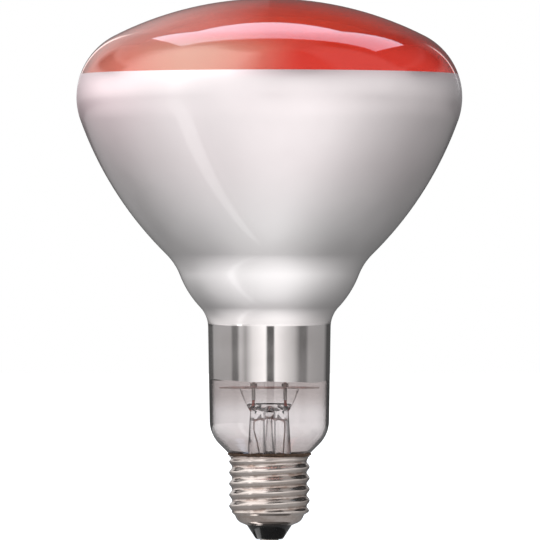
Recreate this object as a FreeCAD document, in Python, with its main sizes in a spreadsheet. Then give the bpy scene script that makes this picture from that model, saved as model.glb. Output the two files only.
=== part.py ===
import FreeCAD, Part
import math
import os
import re

import Sketcher
from FreeCAD import Placement, Rotation, Vector

# Reflector heat lamp with a screw cap, in millimetres.
# Origin at the tip of the centre contact, +Z along the lamp's axis towards its face.

doc = FreeCAD.newDocument("HeatLamp")
sheet = doc.addObject("Spreadsheet::Sheet", "Sizes")
UP = Vector(0, 0, 1)

# Driving dimensions: each a radius, length, rise above the place before it, or angle in degrees
SIZES = {
    # Centre contact and insulator, from the contact's tip up
    "solder_rise": 0.5,
    "solder_radius": 2.0,
    "solder_arc": 0.4,
    "solder_fill": 2.5,
    "eyelet_flange_thickness": 0.35,
    "eyelet_flange_radius": 3.0,
    "eyelet_radius": 1.2,
    "eyelet_bore": 0.8,
    "insulator_drop": 4.6,
    "insulator_foot_radius": 4.35,
    "insulator_foot_arc": 1.0,
    "insulator_flange_reach": 1.4,
    "insulator_flange_edge": 1.02,
    # Screw shell
    "shell_wall": 0.3,
    "shell_hole_radius": 7.5,
    "shell_floor_rise": 1.15,
    "shell_corner_arc": 3.3,
    "shell_corner_inset": 0.95,
    "shell_corner_rise": 2.15,
    "shell_waist_inset": 0.9,
    "shell_waist_rise": 0.75,
    "thread_crest_radius": 13.1,
    "thread_depth": 0.95,
    "thread_pitch": 3.629,
    "thread_roundness": 0.28245,
    "thread_crest_rise": 7.55,
    "thread_run": 16.7,
    "flare_arc": 1.6,
    "flare_angle": 68.0,
    # Cement between the shell and the glass
    "seat_gap": 0.03,
    "cement_wall": 0.62,
    "cement_foot_rise": 3.0,
    "bead_overhang": 0.5,
    "bead_rise": 1.055,
    "bead_arc": 0.3,
    # Blown glass: outside of the bulb, from its mouth inside the cap up to the face
    "glass_wall": 0.9,
    "mouth_drop": 8.662,
    "heel_arc": 3.0,
    "cone_slope": 45.0,
    "shoulder_arc": 10.9,
    "neck_foot_radius": 19.4,
    "neck_taper": 0.5,
    "neck_rise": 30.6,
    "throat_arc": 9.4,
    "throat_rise": 6.3,
    "collar_arc": 32.0,
    "collar_rise": 10.4,
    "step_arc": 19.5,
    "body_arc": 115.7,
    "rim_arc": 22.4,
    "bulb_radius": 62.6,
    "dome_arc": 111.0,
    "bulb_rise": 89.8,
    # Where the finish of the glass changes
    "face_depth": 24.6,
    "neck_edge_drop": 1.8,
    # Stem: flared tube sealed to the mouth, with the press on top
    "stem_wall": 0.8,
    "flare_bend_rise": 6.5,
    "flare_bend_spread": 1.05,
    "flare_bend_arc": 22.0,
    "press_foot_radius": 6.25,
    "press_floor_rise": 22.0,
    "press_foot_rise": 2.4,
    "press_waist_rise": 2.6,
    "press_waist_width": 13.6,
    "press_waist_thickness": 6.4,
    "press_top_rise": 4.8,
    "press_top_width": 19.2,
    "press_top_thickness": 4.0,
    "exhaust_radius": 2.2,
    "exhaust_bore": 1.3,
    "exhaust_tip_gap": 3.0,
    "exhaust_hole_radius": 1.2,
    "exhaust_hole_rise": 1.6,
    # Wires and their seals
    "lead_gap": 0.15,
    "seal_radius": 0.4,
    "seal_foot_rise": 2.6,
    "seal_length": 3.6,
    "copper_radius": 0.2,
    "copper_bend": 4.0,
    "copper_drop": 3.5,
    "contact_lead_gap": 0.5,
    "contact_lead_fall": 9.0,
    "contact_lead_turn": 0.8,
    "shell_lead_offset": 4.4,
    "shell_lead_fall": 8.5,
    "shell_lead_sag": 1.8,
    "nickel_radius": 0.5,
    "nickel_bend": 6.0,
    "nickel_straight": 8.6,
    "nickel_end": 6.8,
    "clip_radius": 1.1,
    "clip_height": 1.2,
    # Heat shield and filament mount
    "shield_gap": 2.25,
    "shield_thickness": 0.4,
    "hole_clearance": 0.05,
    "cane_radius": 1.6,
    "button_radius": 3.0,
    "button_drop": 13.8,
    "button_height": 3.8,
    "ring_radius": 14.0,
    "ring_rise": 42.2,
    "ring_gap_angle": 60.0,
    "coil_radius": 0.8,
    "clamp_radius": 1.2,
    "clamp_angle": 10.0,
    "hook_radius": 0.15,
    "hook_bend": 2.5,
    "hook_inset": 5.0,
    "hook_end": 6.0,
    "hook_inner_angle": 40.0,
    "hook_outer_angle": 100.0,
}

for row, (alias, number) in enumerate(SIZES.items(), start=1):
    sheet.set(f"A{row}", alias)
    sheet.set(f"B{row}", str(number))
    sheet.setAlias(f"B{row}", alias)
doc.recompute()

# Places worked out from the driving dimensions; heights are above the contact's tip
DERIVED = {
    "eyelet_foot_height": "solder_rise",
    "insulator_foot_height": "solder_rise + eyelet_flange_thickness",
    "solder_fill_height": "solder_rise + solder_fill",
    "shell_floor_height": "insulator_foot_height + insulator_drop",
    "shell_corner_height": "shell_floor_height + shell_floor_rise",
    "shell_waist_height": "shell_corner_height + shell_corner_rise",
    "thread_foot_height": "shell_waist_height + shell_waist_rise",
    "thread_crest_height": "thread_foot_height + thread_crest_rise",
    "thread_top_height": "thread_foot_height + thread_run",
    "thread_root_radius": "thread_crest_radius - thread_depth",
    "thread_rounding": "thread_pitch * thread_roundness",
    "shell_waist_radius": "thread_root_radius - shell_waist_inset",
    "shell_corner_radius": "shell_waist_radius - shell_corner_inset",
    "thread_wall_radius": "thread_root_radius - shell_wall - seat_gap",
    "flare_centre_radius": "thread_root_radius + flare_arc",
    "flare_seat_arc": "flare_arc + shell_wall + seat_gap",
    "flare_seat_radius": "flare_centre_radius - flare_seat_arc * cos(flare_angle)"
                         " + shell_wall / 3 * sin(flare_angle)",
    "flare_seat_height": "thread_top_height + flare_seat_arc * sin(flare_angle)"
                         " + shell_wall / 3 * cos(flare_angle)",
    "flare_turn_height": "thread_top_height + flare_seat_arc * tan(flare_angle / 2)",
    "floor_slope": "shell_floor_rise / (shell_corner_radius - shell_hole_radius)",
    "floor_seat_height": "shell_floor_height + shell_wall * sqrt(1 + floor_slope^2) + seat_gap"
                         " - floor_slope * shell_hole_radius",
    "insulator_waist_radius": "shell_hole_radius - shell_wall / 2",
    "insulator_flange_radius": "shell_hole_radius + insulator_flange_reach",
    "insulator_top_height": "floor_seat_height + floor_slope * insulator_flange_radius"
                            " + insulator_flange_edge",
    # The glass sits on the cement's bead: its cone, run on, ends at the heel
    "base_radius": "thread_wall_radius - cement_wall",
    "bead_radius": "flare_seat_radius + bead_overhang",
    "bead_top_height": "flare_seat_height + bead_rise",
    "heel_height": "bead_top_height - (bead_radius - base_radius) * tan(cone_slope)",
    "mouth_height": "heel_height - mouth_drop",
    "cement_foot_height": "mouth_height + cement_foot_rise",
    "neck_tilt": "atan(neck_taper / neck_rise)",
    "cone_top_radius": "neck_foot_radius - shoulder_arc * (cos(neck_tilt) - sin(cone_slope))",
    "cone_top_height": "heel_height + (cone_top_radius - base_radius) * tan(cone_slope)",
    "neck_foot_height": "cone_top_height + shoulder_arc * (cos(cone_slope) - sin(neck_tilt))",
    "neck_radius": "neck_foot_radius + neck_taper",
    "neck_top_height": "neck_foot_height + neck_rise",
    "neck_edge_height": "neck_top_height - neck_edge_drop",
    "collar_foot_height": "neck_top_height + throat_rise",
    "collar_top_height": "collar_foot_height + collar_rise",
    "overall_height": "collar_top_height + bulb_rise",
    "face_edge_height": "overall_height - face_depth",
    # Stem and wires
    "flare_lip_radius": "base_radius - glass_wall",
    "lip_foot_height": "mouth_height - stem_wall",
    "flare_bend_height": "mouth_height + flare_bend_rise",
    "flare_bend_radius": "press_foot_radius + flare_bend_spread",
    "press_floor_height": "mouth_height + press_floor_rise",
    "press_foot_height": "press_floor_height + press_foot_rise",
    "press_waist_height": "press_foot_height + press_waist_rise",
    "press_top_height": "press_waist_height + press_top_rise",
    "exhaust_tip_height": "insulator_top_height + exhaust_tip_gap",
    "exhaust_hole_height": "press_floor_height + exhaust_hole_rise",
    "exhaust_top_height": "exhaust_hole_height + exhaust_bore",
    "lead_spread": "press_foot_radius - stem_wall - copper_radius - lead_gap",
    "seal_foot_height": "press_floor_height + seal_foot_rise",
    "seal_top_height": "seal_foot_height + seal_length",
    "copper_kink_height": "press_floor_height - copper_drop",
    "contact_lead_offset": "exhaust_radius + copper_radius + contact_lead_gap",
    "contact_lead_height": "copper_kink_height - contact_lead_fall",
    "contact_lead_turn_height": "exhaust_tip_height + contact_lead_turn",
    "shell_lead_height": "copper_kink_height - shell_lead_fall",
    "shell_lead_end_height": "thread_crest_height - thread_pitch / 2",
    "shell_lead_turn_height": "shell_lead_end_height - shell_lead_sag",
    # Heat shield, cane and filament
    "shield_radius": "neck_foot_radius - glass_wall - shield_gap",
    "shield_top_height": "press_top_height + shield_thickness",
    "ring_height": "press_top_height + ring_rise",
    "nickel_kink_height": "shield_top_height + clip_height + nickel_straight",
    "nickel_end_height": "ring_height - clamp_radius",
    "nickel_rise_height": "nickel_end_height - nickel_end",
    "lead_end_angle": "ring_gap_angle / 2 + clamp_angle / 2",
    "lead_end_x": "ring_radius * sin(lead_end_angle)",
    "lead_end_y": "ring_radius * cos(lead_end_angle)",
    "lead_reach": "sqrt((lead_end_x - lead_spread)^2 + lead_end_y^2)",
    "lead_turn": "acos((lead_end_x - lead_spread) / lead_reach) / 1 deg",
    "button_foot_height": "ring_height - button_drop",
    "button_top_height": "button_foot_height + button_height",
    "button_middle_height": "button_foot_height + button_height / 2",
    "loop_radius": "coil_radius + hook_radius + hole_clearance",
    "hook_turn_radius": "ring_radius - hook_inset",
    "hook_rise_height": "ring_height - hook_end",
}


def bound(text):
    """The text of a size with every name of ours turned into a reference to the sheet."""
    def spell(word):
        name = word[0]
        if name in DERIVED:
            return "(" + bound(DERIVED[name]) + ")"
        return "Sizes." + name if name in SIZES else name
    return re.sub(r"[a-z_]\w*", spell, text)


def size(text):
    """The present value of a size."""
    found = sheet.evalExpression(bound(text))
    return float(getattr(found, "Value", found))


def point(radius, height):
    return Vector(size(radius), size(height), 0)


def origin_plane(body, role):
    return next(item for item in body.Origin.OriginFeatures if item.Role == role)


def new_body(label):
    body = doc.addObject("PartDesign::Body", label)
    body.Label = label
    return body


def new_sketch(body, name, plane="XZ_Plane", height=None):
    sketch = body.newObject("Sketcher::SketchObject", f"{body.Name}_{name}")
    sketch.AttachmentSupport = [(origin_plane(body, plane), "")]
    sketch.MapMode = "FlatFace"
    if height:
        sketch.AttachmentOffset = Placement(Vector(0, 0, size(height)), Rotation())
        sketch.setExpression("AttachmentOffset.Base.z", bound(height))
    return sketch


def hold(sketch, kind, *places, to):
    """A dimension of a sketch that follows the sheet."""
    index = sketch.addConstraint(Sketcher.Constraint(kind, *places, size(to)))
    sketch.setExpression(f"Constraints[{index}]", bound(to))


def hold_at(sketch, geometry, end, across, up):
    """A point of a sketch held at its place; a place on an axis is held to that axis."""
    for kind, axis, text in (("DistanceX", -2, across), ("DistanceY", -1, up)):
        if text == "0":
            sketch.addConstraint(Sketcher.Constraint("PointOnObject", geometry, end, axis))
        else:
            hold(sketch, kind, -1, 1, geometry, end, to=text)


def arc_of(centre, first, last, leftwards):
    """An arc that leaves first and reaches last, and which of its ends each one is."""
    start, end = (first, last) if leftwards else (last, first)
    angles = [math.atan2(place.y - centre.y, place.x - centre.x) for place in (start, end)]
    circle = Part.Circle(centre, UP, (first - centre).Length)
    return Part.ArcOfCircle(circle, *angles), (1, 2) if leftwards else (2, 1)


def rounded_runs(corners, closed):
    """Straight runs between corners, and the arc that rounds each corner that has a radius."""
    places = [point(*corner[:2]) for corner in corners]
    count = len(corners)
    leaves = list(places)
    reaches = list(places)
    arcs = {}
    for index, corner in enumerate(corners):
        if len(corner) == 3:
            here = places[index]
            before = (here - places[index - 1]).normalize()
            after = (places[(index + 1) % count] - here).normalize()
            radius = size(corner[2])
            turn = before.getAngle(after)
            reaches[index] = here - before * radius * math.tan(turn / 2)
            leaves[index] = here + after * radius * math.tan(turn / 2)
            leftwards = before.cross(after).z > 0
            sideways = UP.cross(before) * (radius if leftwards else -radius)
            arcs[index] = arc_of(reaches[index] + sideways, reaches[index], leaves[index], leftwards)
    runs = [(leaves[i], reaches[(i + 1) % count]) for i in range(count if closed else count - 1)]
    return runs, arcs


def draw_outline(sketch, corners, closed=True):
    """Straight runs through corners (across, up) or (across, up, rounding), bound to the sheet."""
    runs, arcs = rounded_runs(corners, closed)
    lines = [sketch.addGeometry(Part.LineSegment(*run)) for run in runs]
    for index, corner in enumerate(corners):
        before = lines[index - 1] if closed or index > 0 else None
        after = lines[index] if index < len(lines) else None
        if index in arcs:
            shape, (first, last) = arcs[index]
            arc = sketch.addGeometry(shape)
            mark = sketch.addGeometry(Part.Point(point(*corner[:2])), True)
            sketch.addConstraint([
                Sketcher.Constraint("Tangent", before, 2, arc, first),
                Sketcher.Constraint("Tangent", arc, last, after, 1),
                Sketcher.Constraint("PointOnObject", mark, 1, before),
                Sketcher.Constraint("PointOnObject", mark, 1, after),
            ])
            hold(sketch, "Radius", arc, to=corner[2])
            hold_at(sketch, mark, 1, *corner[:2])
        elif after is None:
            hold_at(sketch, before, 2, *corner[:2])
        else:
            if before is not None:
                sketch.addConstraint(Sketcher.Constraint("Coincident", before, 2, after, 1))
            hold_at(sketch, after, 1, *corner[:2])


def revolve(body, sketch, angle=None):
    """Turn a sketch about the vertical axis."""
    turned = body.newObject("PartDesign::Revolution", f"{body.Name}_turned")
    turned.Profile = sketch
    turned.ReferenceAxis = (sketch, ["V_Axis"])
    turned.Angle = 360
    if angle:
        turned.setExpression("Angle", bound(angle))
    return turned


def turned_piece(label, corners):
    """A piece of revolution about the lamp's axis, from its half section."""
    body = new_body(label)
    sketch = new_sketch(body, "section")
    draw_outline(sketch, corners)
    revolve(body, sketch)
    return body


def draw_circles(sketch, circles):
    """Circles (across, radius) on the sketch's horizontal axis."""
    for across, radius in circles:
        centre = Vector(size(across), 0, 0)
        circle = sketch.addGeometry(Part.Circle(centre, UP, size(radius)))
        hold_at(sketch, circle, 3, across, "0")
        hold(sketch, "Radius", circle, to=radius)


def pad(body, name, height, length, circles):
    """A round plate or rod that rises from a height."""
    sketch = new_sketch(body, name, "XY_Plane", height)
    draw_circles(sketch, circles)
    raised = body.newObject("PartDesign::Pad", f"{body.Name}_{name}_pad")
    raised.Profile = sketch
    raised.setExpression("Length", bound(length))
    return body


def turn_body(body, degrees_text):
    """Turn a finished piece about the lamp's axis."""
    body.Placement = Placement(Vector(), Rotation(UP, 90))
    body.setExpression("Placement.Rotation.Angle", f"({bound(degrees_text)}) * 1 deg")
    return body


def bent_wire(label, corners, radius):
    """A round wire along straight runs and bends in an upright plane; its first run is upright."""
    body = new_body(label)
    path = new_sketch(body, "path")
    draw_outline(path, corners, closed=False)
    end = new_sketch(body, "end", "XY_Plane", corners[0][1])
    draw_circles(end, [(corners[0][0], radius)])
    pipe = body.newObject("PartDesign::AdditivePipe", f"{body.Name}_pipe")
    pipe.Profile = end
    pipe.Spine = (path, [])
    return body


# Glass envelope: one blown bulb. Its outline is a chain of tangent arcs from the face to the mouth.

def envelope_line():
    """Centres of the outside's arcs, and the points where its pieces meet, from the face down."""
    dome = Vector(0, size("overall_height - dome_arc"), 0)
    rim_across = size("bulb_radius - rim_arc")
    rim_rise = math.sqrt(size("dome_arc - rim_arc") ** 2 - rim_across ** 2)
    rim = Vector(rim_across, dome.y + rim_rise, 0)
    neck_top = point("neck_radius", "neck_top_height")
    neck_foot = point("neck_foot_radius", "neck_foot_height")
    outwards = UP.cross((neck_foot - neck_top).normalize())
    throat = neck_top + outwards * size("throat_arc")
    collar_foot_rise = size("collar_foot_height") - throat.y
    collar_foot_across = math.sqrt(size("throat_arc") ** 2 - collar_foot_rise ** 2)
    collar_foot = throat + Vector(-collar_foot_across, collar_foot_rise, 0)
    collar = throat + (collar_foot - throat) * size("(throat_arc + collar_arc) / throat_arc")
    collar_top_rise = size("collar_top_height") - collar.y
    collar_top_across = math.sqrt(size("collar_arc") ** 2 - collar_top_rise ** 2)
    collar_top = collar + Vector(collar_top_across, collar_top_rise, 0)
    step = collar + (collar_top - collar) * size("(collar_arc + step_arc) / collar_arc")
    # The body's arc lies inside the rim's circle and outside the step's
    inner = size("body_arc - rim_arc")
    outer = size("body_arc + step_arc")
    gap = step - rim
    along = (inner ** 2 - outer ** 2 + gap.Length ** 2) / (2 * gap.Length)
    aside = math.sqrt(inner ** 2 - along ** 2)
    direction = Vector(gap).normalize()
    body = rim + direction * along - UP.cross(direction) * aside
    shoulder = neck_foot - outwards * size("shoulder_arc")
    cone_top = point("cone_top_radius", "cone_top_height")
    heel_run = size("heel_arc * tan((90 - cone_slope) / 2)")
    heel_foot = Vector(size("base_radius"), size("heel_height") - heel_run, 0)
    heel = heel_foot + Vector(size("heel_arc"), 0, 0)
    heel_top = heel + Vector(-size("sin(cone_slope)"), size("cos(cone_slope)"), 0) * size("heel_arc")
    centres = [dome, rim, body, step, collar, throat, shoulder, heel]
    meets = [
        Vector(0, size("overall_height"), 0),
        dome + (rim - dome).normalize() * size("dome_arc"),
        rim + (rim - body).normalize() * size("rim_arc"),
        step + (body - step).normalize() * size("step_arc"),
        collar_top,
        collar_foot,
        neck_top,
        neck_foot,
        cone_top,
        heel_top,
        heel_foot,
    ]
    return centres, meets


def outward(centres, meets):
    """The way out of the glass at each meeting point."""
    dome, rim, body, _, collar, throat, shoulder, heel = centres
    bulging = [dome, dome, rim, body, collar, collar, None, shoulder, shoulder]
    normals = [(spot - centre).normalize() for spot, centre in zip(meets, bulging) if centre]
    normals.insert(6, (throat - meets[6]).normalize())
    return normals + [(heel - spot).normalize() for spot in meets[9:]]


def draw_chain(sketch, centres, meets, mouth):
    """The arcs and straights of one face of the glass, each tangent to the next."""
    dome, rim, side, step, collar, throat, shoulder, heel = centres
    # Going down the outside, an arc that bulges outwards turns to the right
    pieces = [
        arc_of(dome, meets[0], meets[1], False),
        arc_of(rim, meets[1], meets[2], False),
        arc_of(side, meets[2], meets[3], False),
        arc_of(step, meets[3], meets[4], True),
        arc_of(collar, meets[4], meets[5], False),
        arc_of(throat, meets[5], meets[6], True),
        (Part.LineSegment(meets[6], meets[7]), (1, 2)),
        arc_of(shoulder, meets[7], meets[8], False),
        (Part.LineSegment(meets[9], meets[8]), (2, 1)),
        arc_of(heel, meets[9], meets[10], True),
        (Part.LineSegment(meets[10], mouth), (1, 2)),
    ]
    ends = [(sketch.addGeometry(shape), *order) for shape, order in pieces]
    for (upper, _, last), (lower, first, _) in zip(ends, ends[1:]):
        sketch.addConstraint(Sketcher.Constraint("Tangent", upper, last, lower, first))
    return ends


def blown_glass(label):
    """The whole envelope, from its face to its mouth."""
    body = new_body(label)
    sketch = new_sketch(body, "section")
    centres, meets = envelope_line()
    outside = draw_chain(sketch, centres, meets, point("base_radius", "mouth_height"))
    radii = ["dome_arc", "rim_arc", "body_arc", "step_arc", "collar_arc", "throat_arc", None,
             "shoulder_arc", None, "heel_arc", None]
    for (geometry, _, _), radius in zip(outside, radii):
        if radius:
            hold(sketch, "Radius", geometry, to=radius)
    dome, rim, _, _, collar, _, neck, _, cone, _, base = outside
    hold_at(sketch, dome[0], dome[1], "0", "overall_height")
    sketch.addConstraint(Sketcher.Constraint("PointOnObject", dome[0], 3, -2))
    hold(sketch, "DistanceX", -1, 1, rim[0], 3, to="bulb_radius - rim_arc")
    hold(sketch, "DistanceY", -1, 1, collar[0], collar[1], to="collar_top_height")
    hold(sketch, "DistanceY", -1, 1, collar[0], collar[2], to="collar_foot_height")
    hold_at(sketch, neck[0], 1, "neck_radius", "neck_top_height")
    hold_at(sketch, neck[0], 2, "neck_foot_radius", "neck_foot_height")
    slope = sketch.addConstraint(
        Sketcher.Constraint("Angle", cone[0], math.radians(size("cone_slope"))))
    sketch.setExpression(f"Constraints[{slope}]", bound("cone_slope") + " * 1 deg")
    sketch.addConstraint(Sketcher.Constraint("Vertical", base[0]))
    hold_at(sketch, base[0], 2, "base_radius", "mouth_height")
    # The inside has the same centres, one wall further in
    wall = size("glass_wall")
    inner_meets = [spot - normal * wall for spot, normal in zip(meets, outward(centres, meets))]
    inner_mouth = point("base_radius - glass_wall", "mouth_height")
    inside = draw_chain(sketch, centres, inner_meets, inner_mouth)
    for number, (outer, inner) in enumerate(zip(outside, inside)):
        kind = "Coincident" if radii[number] else "Parallel"
        places = (outer[0], 3, inner[0], 3) if radii[number] else (outer[0], inner[0])
        sketch.addConstraint(Sketcher.Constraint(kind, *places))
    hold(sketch, "Radius", inside[0][0], to="dome_arc - glass_wall")
    sketch.addConstraint(Sketcher.Constraint("PointOnObject", inside[0][0], inside[0][1], -2))
    top = sketch.addGeometry(Part.LineSegment(inner_meets[0], meets[0]))
    rim_of_mouth = sketch.addGeometry(Part.LineSegment(meets[10], inner_mouth))
    sketch.addConstraint([
        Sketcher.Constraint("Coincident", inside[0][0], inside[0][1], top, 1),
        Sketcher.Constraint("Coincident", top, 2, dome[0], dome[1]),
        Sketcher.Constraint("Coincident", base[0], 2, rim_of_mouth, 1),
        Sketcher.Constraint("Coincident", inside[10][0], 2, rim_of_mouth, 2),
        Sketcher.Constraint("Horizontal", rim_of_mouth),
    ])
    revolve(body, sketch)
    return body


def cut_off(body, name, height, above):
    """Leave only one side of a level plane."""
    sketch = new_sketch(body, name, "XY_Plane", height)
    draw_circles(sketch, [("0", "bulb_radius + glass_wall")])
    cut = body.newObject("PartDesign::Pocket", f"{body.Name}_{name}_cut")
    cut.Profile = sketch
    cut.Type = "ThroughAll"
    cut.Reversed = above


# The one blown glass is drawn as three solids, one for each finish
face = blown_glass("glass_face")
cut_off(face, "below", "face_edge_height", above=False)
reflector = blown_glass("glass_reflector")
cut_off(reflector, "above", "face_edge_height", above=True)
cut_off(reflector, "below", "neck_edge_height", above=False)
neck = blown_glass("glass_neck")
cut_off(neck, "above", "neck_edge_height", above=True)

# Screw shell: thin sheet rolled to a round thread, with a flared rim and a drawn-in floor.


def thread_ridge(offset):
    """Height of the rolled thread above its root at a distance along the axis from a crest."""
    pitch = size("thread_pitch")
    depth = size("thread_crest_radius - thread_root_radius")
    rounding = size("thread_rounding")
    offset = abs((offset + pitch / 2) % pitch - pitch / 2)
    rise = 2 * rounding - depth
    spacing = math.hypot(pitch / 2, rise)
    slant = math.atan2(rise, pitch / 2) + math.acos(min(1, 2 * rounding / spacing))
    crest_end = rounding * math.cos(slant)
    if offset < crest_end:
        return depth - rounding + math.sqrt(rounding ** 2 - offset ** 2)
    if offset > pitch / 2 - crest_end:
        return rounding - math.sqrt(rounding ** 2 - (pitch / 2 - offset) ** 2)
    upper = depth - rounding + rounding * math.sin(slant)
    lower = rounding - rounding * math.sin(slant)
    share = (offset - crest_end) / (pitch / 2 - 2 * crest_end)
    return upper + (lower - upper) * share


def ease(value, low, high):
    """Nought below low, one above high, and smooth between."""
    share = min(1, max(0, (value - low) / (high - low)))
    return share * share * (3 - 2 * share)


def shell_section():
    """Points of the shell's outside from its hole to its rim, with their outward normals."""
    end_angle = size("flare_angle")
    centre = point("flare_centre_radius", "thread_top_height")
    radius = size("flare_arc")
    corners = [
        ("shell_hole_radius", "shell_floor_height"),
        ("shell_corner_radius", "shell_corner_height", "shell_corner_arc"),
        ("shell_waist_radius", "shell_waist_height", "shell_wall"),
        ("thread_root_radius", "thread_foot_height", "shell_wall"),
        ("thread_root_radius", "thread_top_height"),
    ]
    runs, arcs = rounded_runs(corners, closed=False)
    edges = [Part.LineSegment(*run).toShape() for run in runs]
    edges += [arc.toShape() for arc, _ in arcs.values()]
    turned = [centre + Vector(-radius * math.cos(angle), radius * math.sin(angle), 0)
              for angle in (0, math.radians(end_angle / 2), math.radians(end_angle))]
    edges.append(Part.Arc(*turned).toShape())
    wire = Part.Wire(Part.__sortEdges__(edges))
    spacing = size("thread_pitch / 12")
    places = wire.discretize(max(3, round(wire.Length / spacing)))
    if places[0].y > places[-1].y:
        places.reverse()
    rows = []
    for index, place in enumerate(places):
        ahead = places[min(index + 1, len(places) - 1)] - places[max(index - 1, 0)]
        normal = ahead.cross(UP).normalize()
        rows.append((place, normal))
    return rows


def shell_skin(rows, inset, around=36):
    """One skin of the shell: the section turned about the axis with the thread added to it."""
    pitch = size("thread_pitch")
    crest = size("thread_crest_height")
    low = size("shell_waist_height")
    foot = size("thread_foot_height")
    top = size("thread_top_height")
    # A smooth curve lies inside its poles, so they stand a little further out
    spread = 3 / (2 + math.cos(2 * math.pi / around))
    poles = []
    for step in range(around):
        angle = 2 * math.pi * step / around
        column = []
        for place, normal in rows:
            spot = place - normal * inset
            shown = ease(place.y, low, foot + pitch / 6) * (1 - ease(place.y, top, top + pitch / 3))
            ridge = thread_ridge(place.y - crest - pitch * angle / (2 * math.pi)) * shown
            radius = (spot.x + ridge) * spread
            column.append(Vector(radius * math.cos(angle), radius * math.sin(angle), spot.y))
        poles.append(column)
    spans = len(rows) - 3
    skin = Part.BSplineSurface()
    skin.buildFromPolesMultsKnots(
        poles, [1] * (around + 1), [4] + [1] * (spans - 1) + [4],
        list(range(around + 1)), list(range(spans + 1)), True, False, 3, 3)
    return skin.toShape()


def make_cap_shell():
    rows = shell_section()
    outside = shell_skin(rows, 0)
    inside = shell_skin(rows, size("shell_wall"))
    faces = [outside, inside]
    for at_top in (False, True):
        rings = [sorted((edge for edge in skin.Edges if edge.isClosed()),
                        key=lambda edge: edge.BoundBox.ZMax)[-1 if at_top else 0]
                 for skin in (outside, inside)]
        faces += Part.makeRuledSurface(*rings).Faces
    skins = Part.makeShell(faces)
    skins.sewShape(1e-4)
    solid = Part.Solid(skins)
    solid.fix(1e-4, 1e-4, 1e-4)
    shell = doc.addObject("Part::Feature", "cap_shell")
    shell.Label = "cap_shell"
    shell.Shape = solid
    shell.Placement = Placement()


make_cap_shell()

# Cement: baked putty between the cap and the glass, with a bead above the rim.

turned_piece("capping_cement", [
    ("base_radius", "cement_foot_height"),
    ("thread_wall_radius", "cement_foot_height"),
    ("thread_wall_radius", "flare_turn_height", "flare_seat_arc"),
    ("flare_seat_radius", "flare_seat_height"),
    ("bead_radius", "flare_seat_height + bead_arc / 2", "bead_arc"),
    ("bead_radius", "bead_top_height"),
    ("base_radius", "heel_height", "heel_arc"),
])

# Insulator: black glass cast through the hole in the shell's floor.

turned_piece("insulator", [
    ("eyelet_radius", "insulator_foot_height"),
    ("insulator_foot_radius", "insulator_foot_height", "insulator_foot_arc"),
    ("insulator_waist_radius", "shell_floor_height"),
    ("insulator_waist_radius", "floor_seat_height + floor_slope * insulator_waist_radius"),
    ("insulator_flange_radius", "floor_seat_height + floor_slope * insulator_flange_radius"),
    ("insulator_flange_radius", "insulator_top_height"),
    ("eyelet_radius", "insulator_top_height"),
])

# Centre contact: brass eyelet through the insulator, filled with solder round the lead.

turned_piece("contact_plate", [
    ("eyelet_bore", "eyelet_foot_height"),
    ("eyelet_flange_radius", "eyelet_foot_height"),
    ("eyelet_flange_radius", "insulator_foot_height"),
    ("eyelet_radius", "insulator_foot_height"),
    ("eyelet_radius", "insulator_top_height"),
    ("eyelet_bore", "insulator_top_height"),
])

turned_piece("contact_solder", [
    ("0", "0"),
    ("solder_radius", "0", "solder_arc"),
    ("solder_radius", "eyelet_foot_height"),
    ("eyelet_bore", "eyelet_foot_height"),
    ("eyelet_bore", "solder_fill_height"),
    ("copper_radius", "solder_fill_height"),
    ("copper_radius", "eyelet_foot_height"),
    ("0", "eyelet_foot_height"),
])

# Stem: a flared glass tube whose top is pressed flat round the wires while hot.


def slot_sketch(body, name, height, width, thickness):
    """A flat oval across the lamp: two half circles joined by straight sides."""
    sketch = new_sketch(body, name, "XY_Plane", height)
    reach = size(f"({width} - {thickness}) / 2")
    radius = size(f"{thickness} / 2")
    right = Part.ArcOfCircle(Part.Circle(Vector(reach, 0, 0), UP, radius), -math.pi / 2, math.pi / 2)
    left = Part.ArcOfCircle(Part.Circle(Vector(-reach, 0, 0), UP, radius), math.pi / 2, 3 * math.pi / 2)
    right = sketch.addGeometry(right)
    back = sketch.addGeometry(Part.LineSegment(Vector(reach, radius, 0), Vector(-reach, radius, 0)))
    left = sketch.addGeometry(left)
    front = sketch.addGeometry(Part.LineSegment(Vector(-reach, -radius, 0), Vector(reach, -radius, 0)))
    sketch.addConstraint([
        Sketcher.Constraint("Tangent", right, 2, back, 1),
        Sketcher.Constraint("Tangent", back, 2, left, 1),
        Sketcher.Constraint("Tangent", left, 2, front, 1),
        Sketcher.Constraint("Tangent", front, 2, right, 1),
        Sketcher.Constraint("PointOnObject", right, 3, -1),
        Sketcher.Constraint("Symmetric", right, 3, left, 3, -2),
    ])
    hold(sketch, "Radius", right, to=f"{thickness} / 2")
    hold(sketch, "DistanceX", -1, 1, right, 3, to=f"({width} - {thickness}) / 2")
    return sketch


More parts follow.
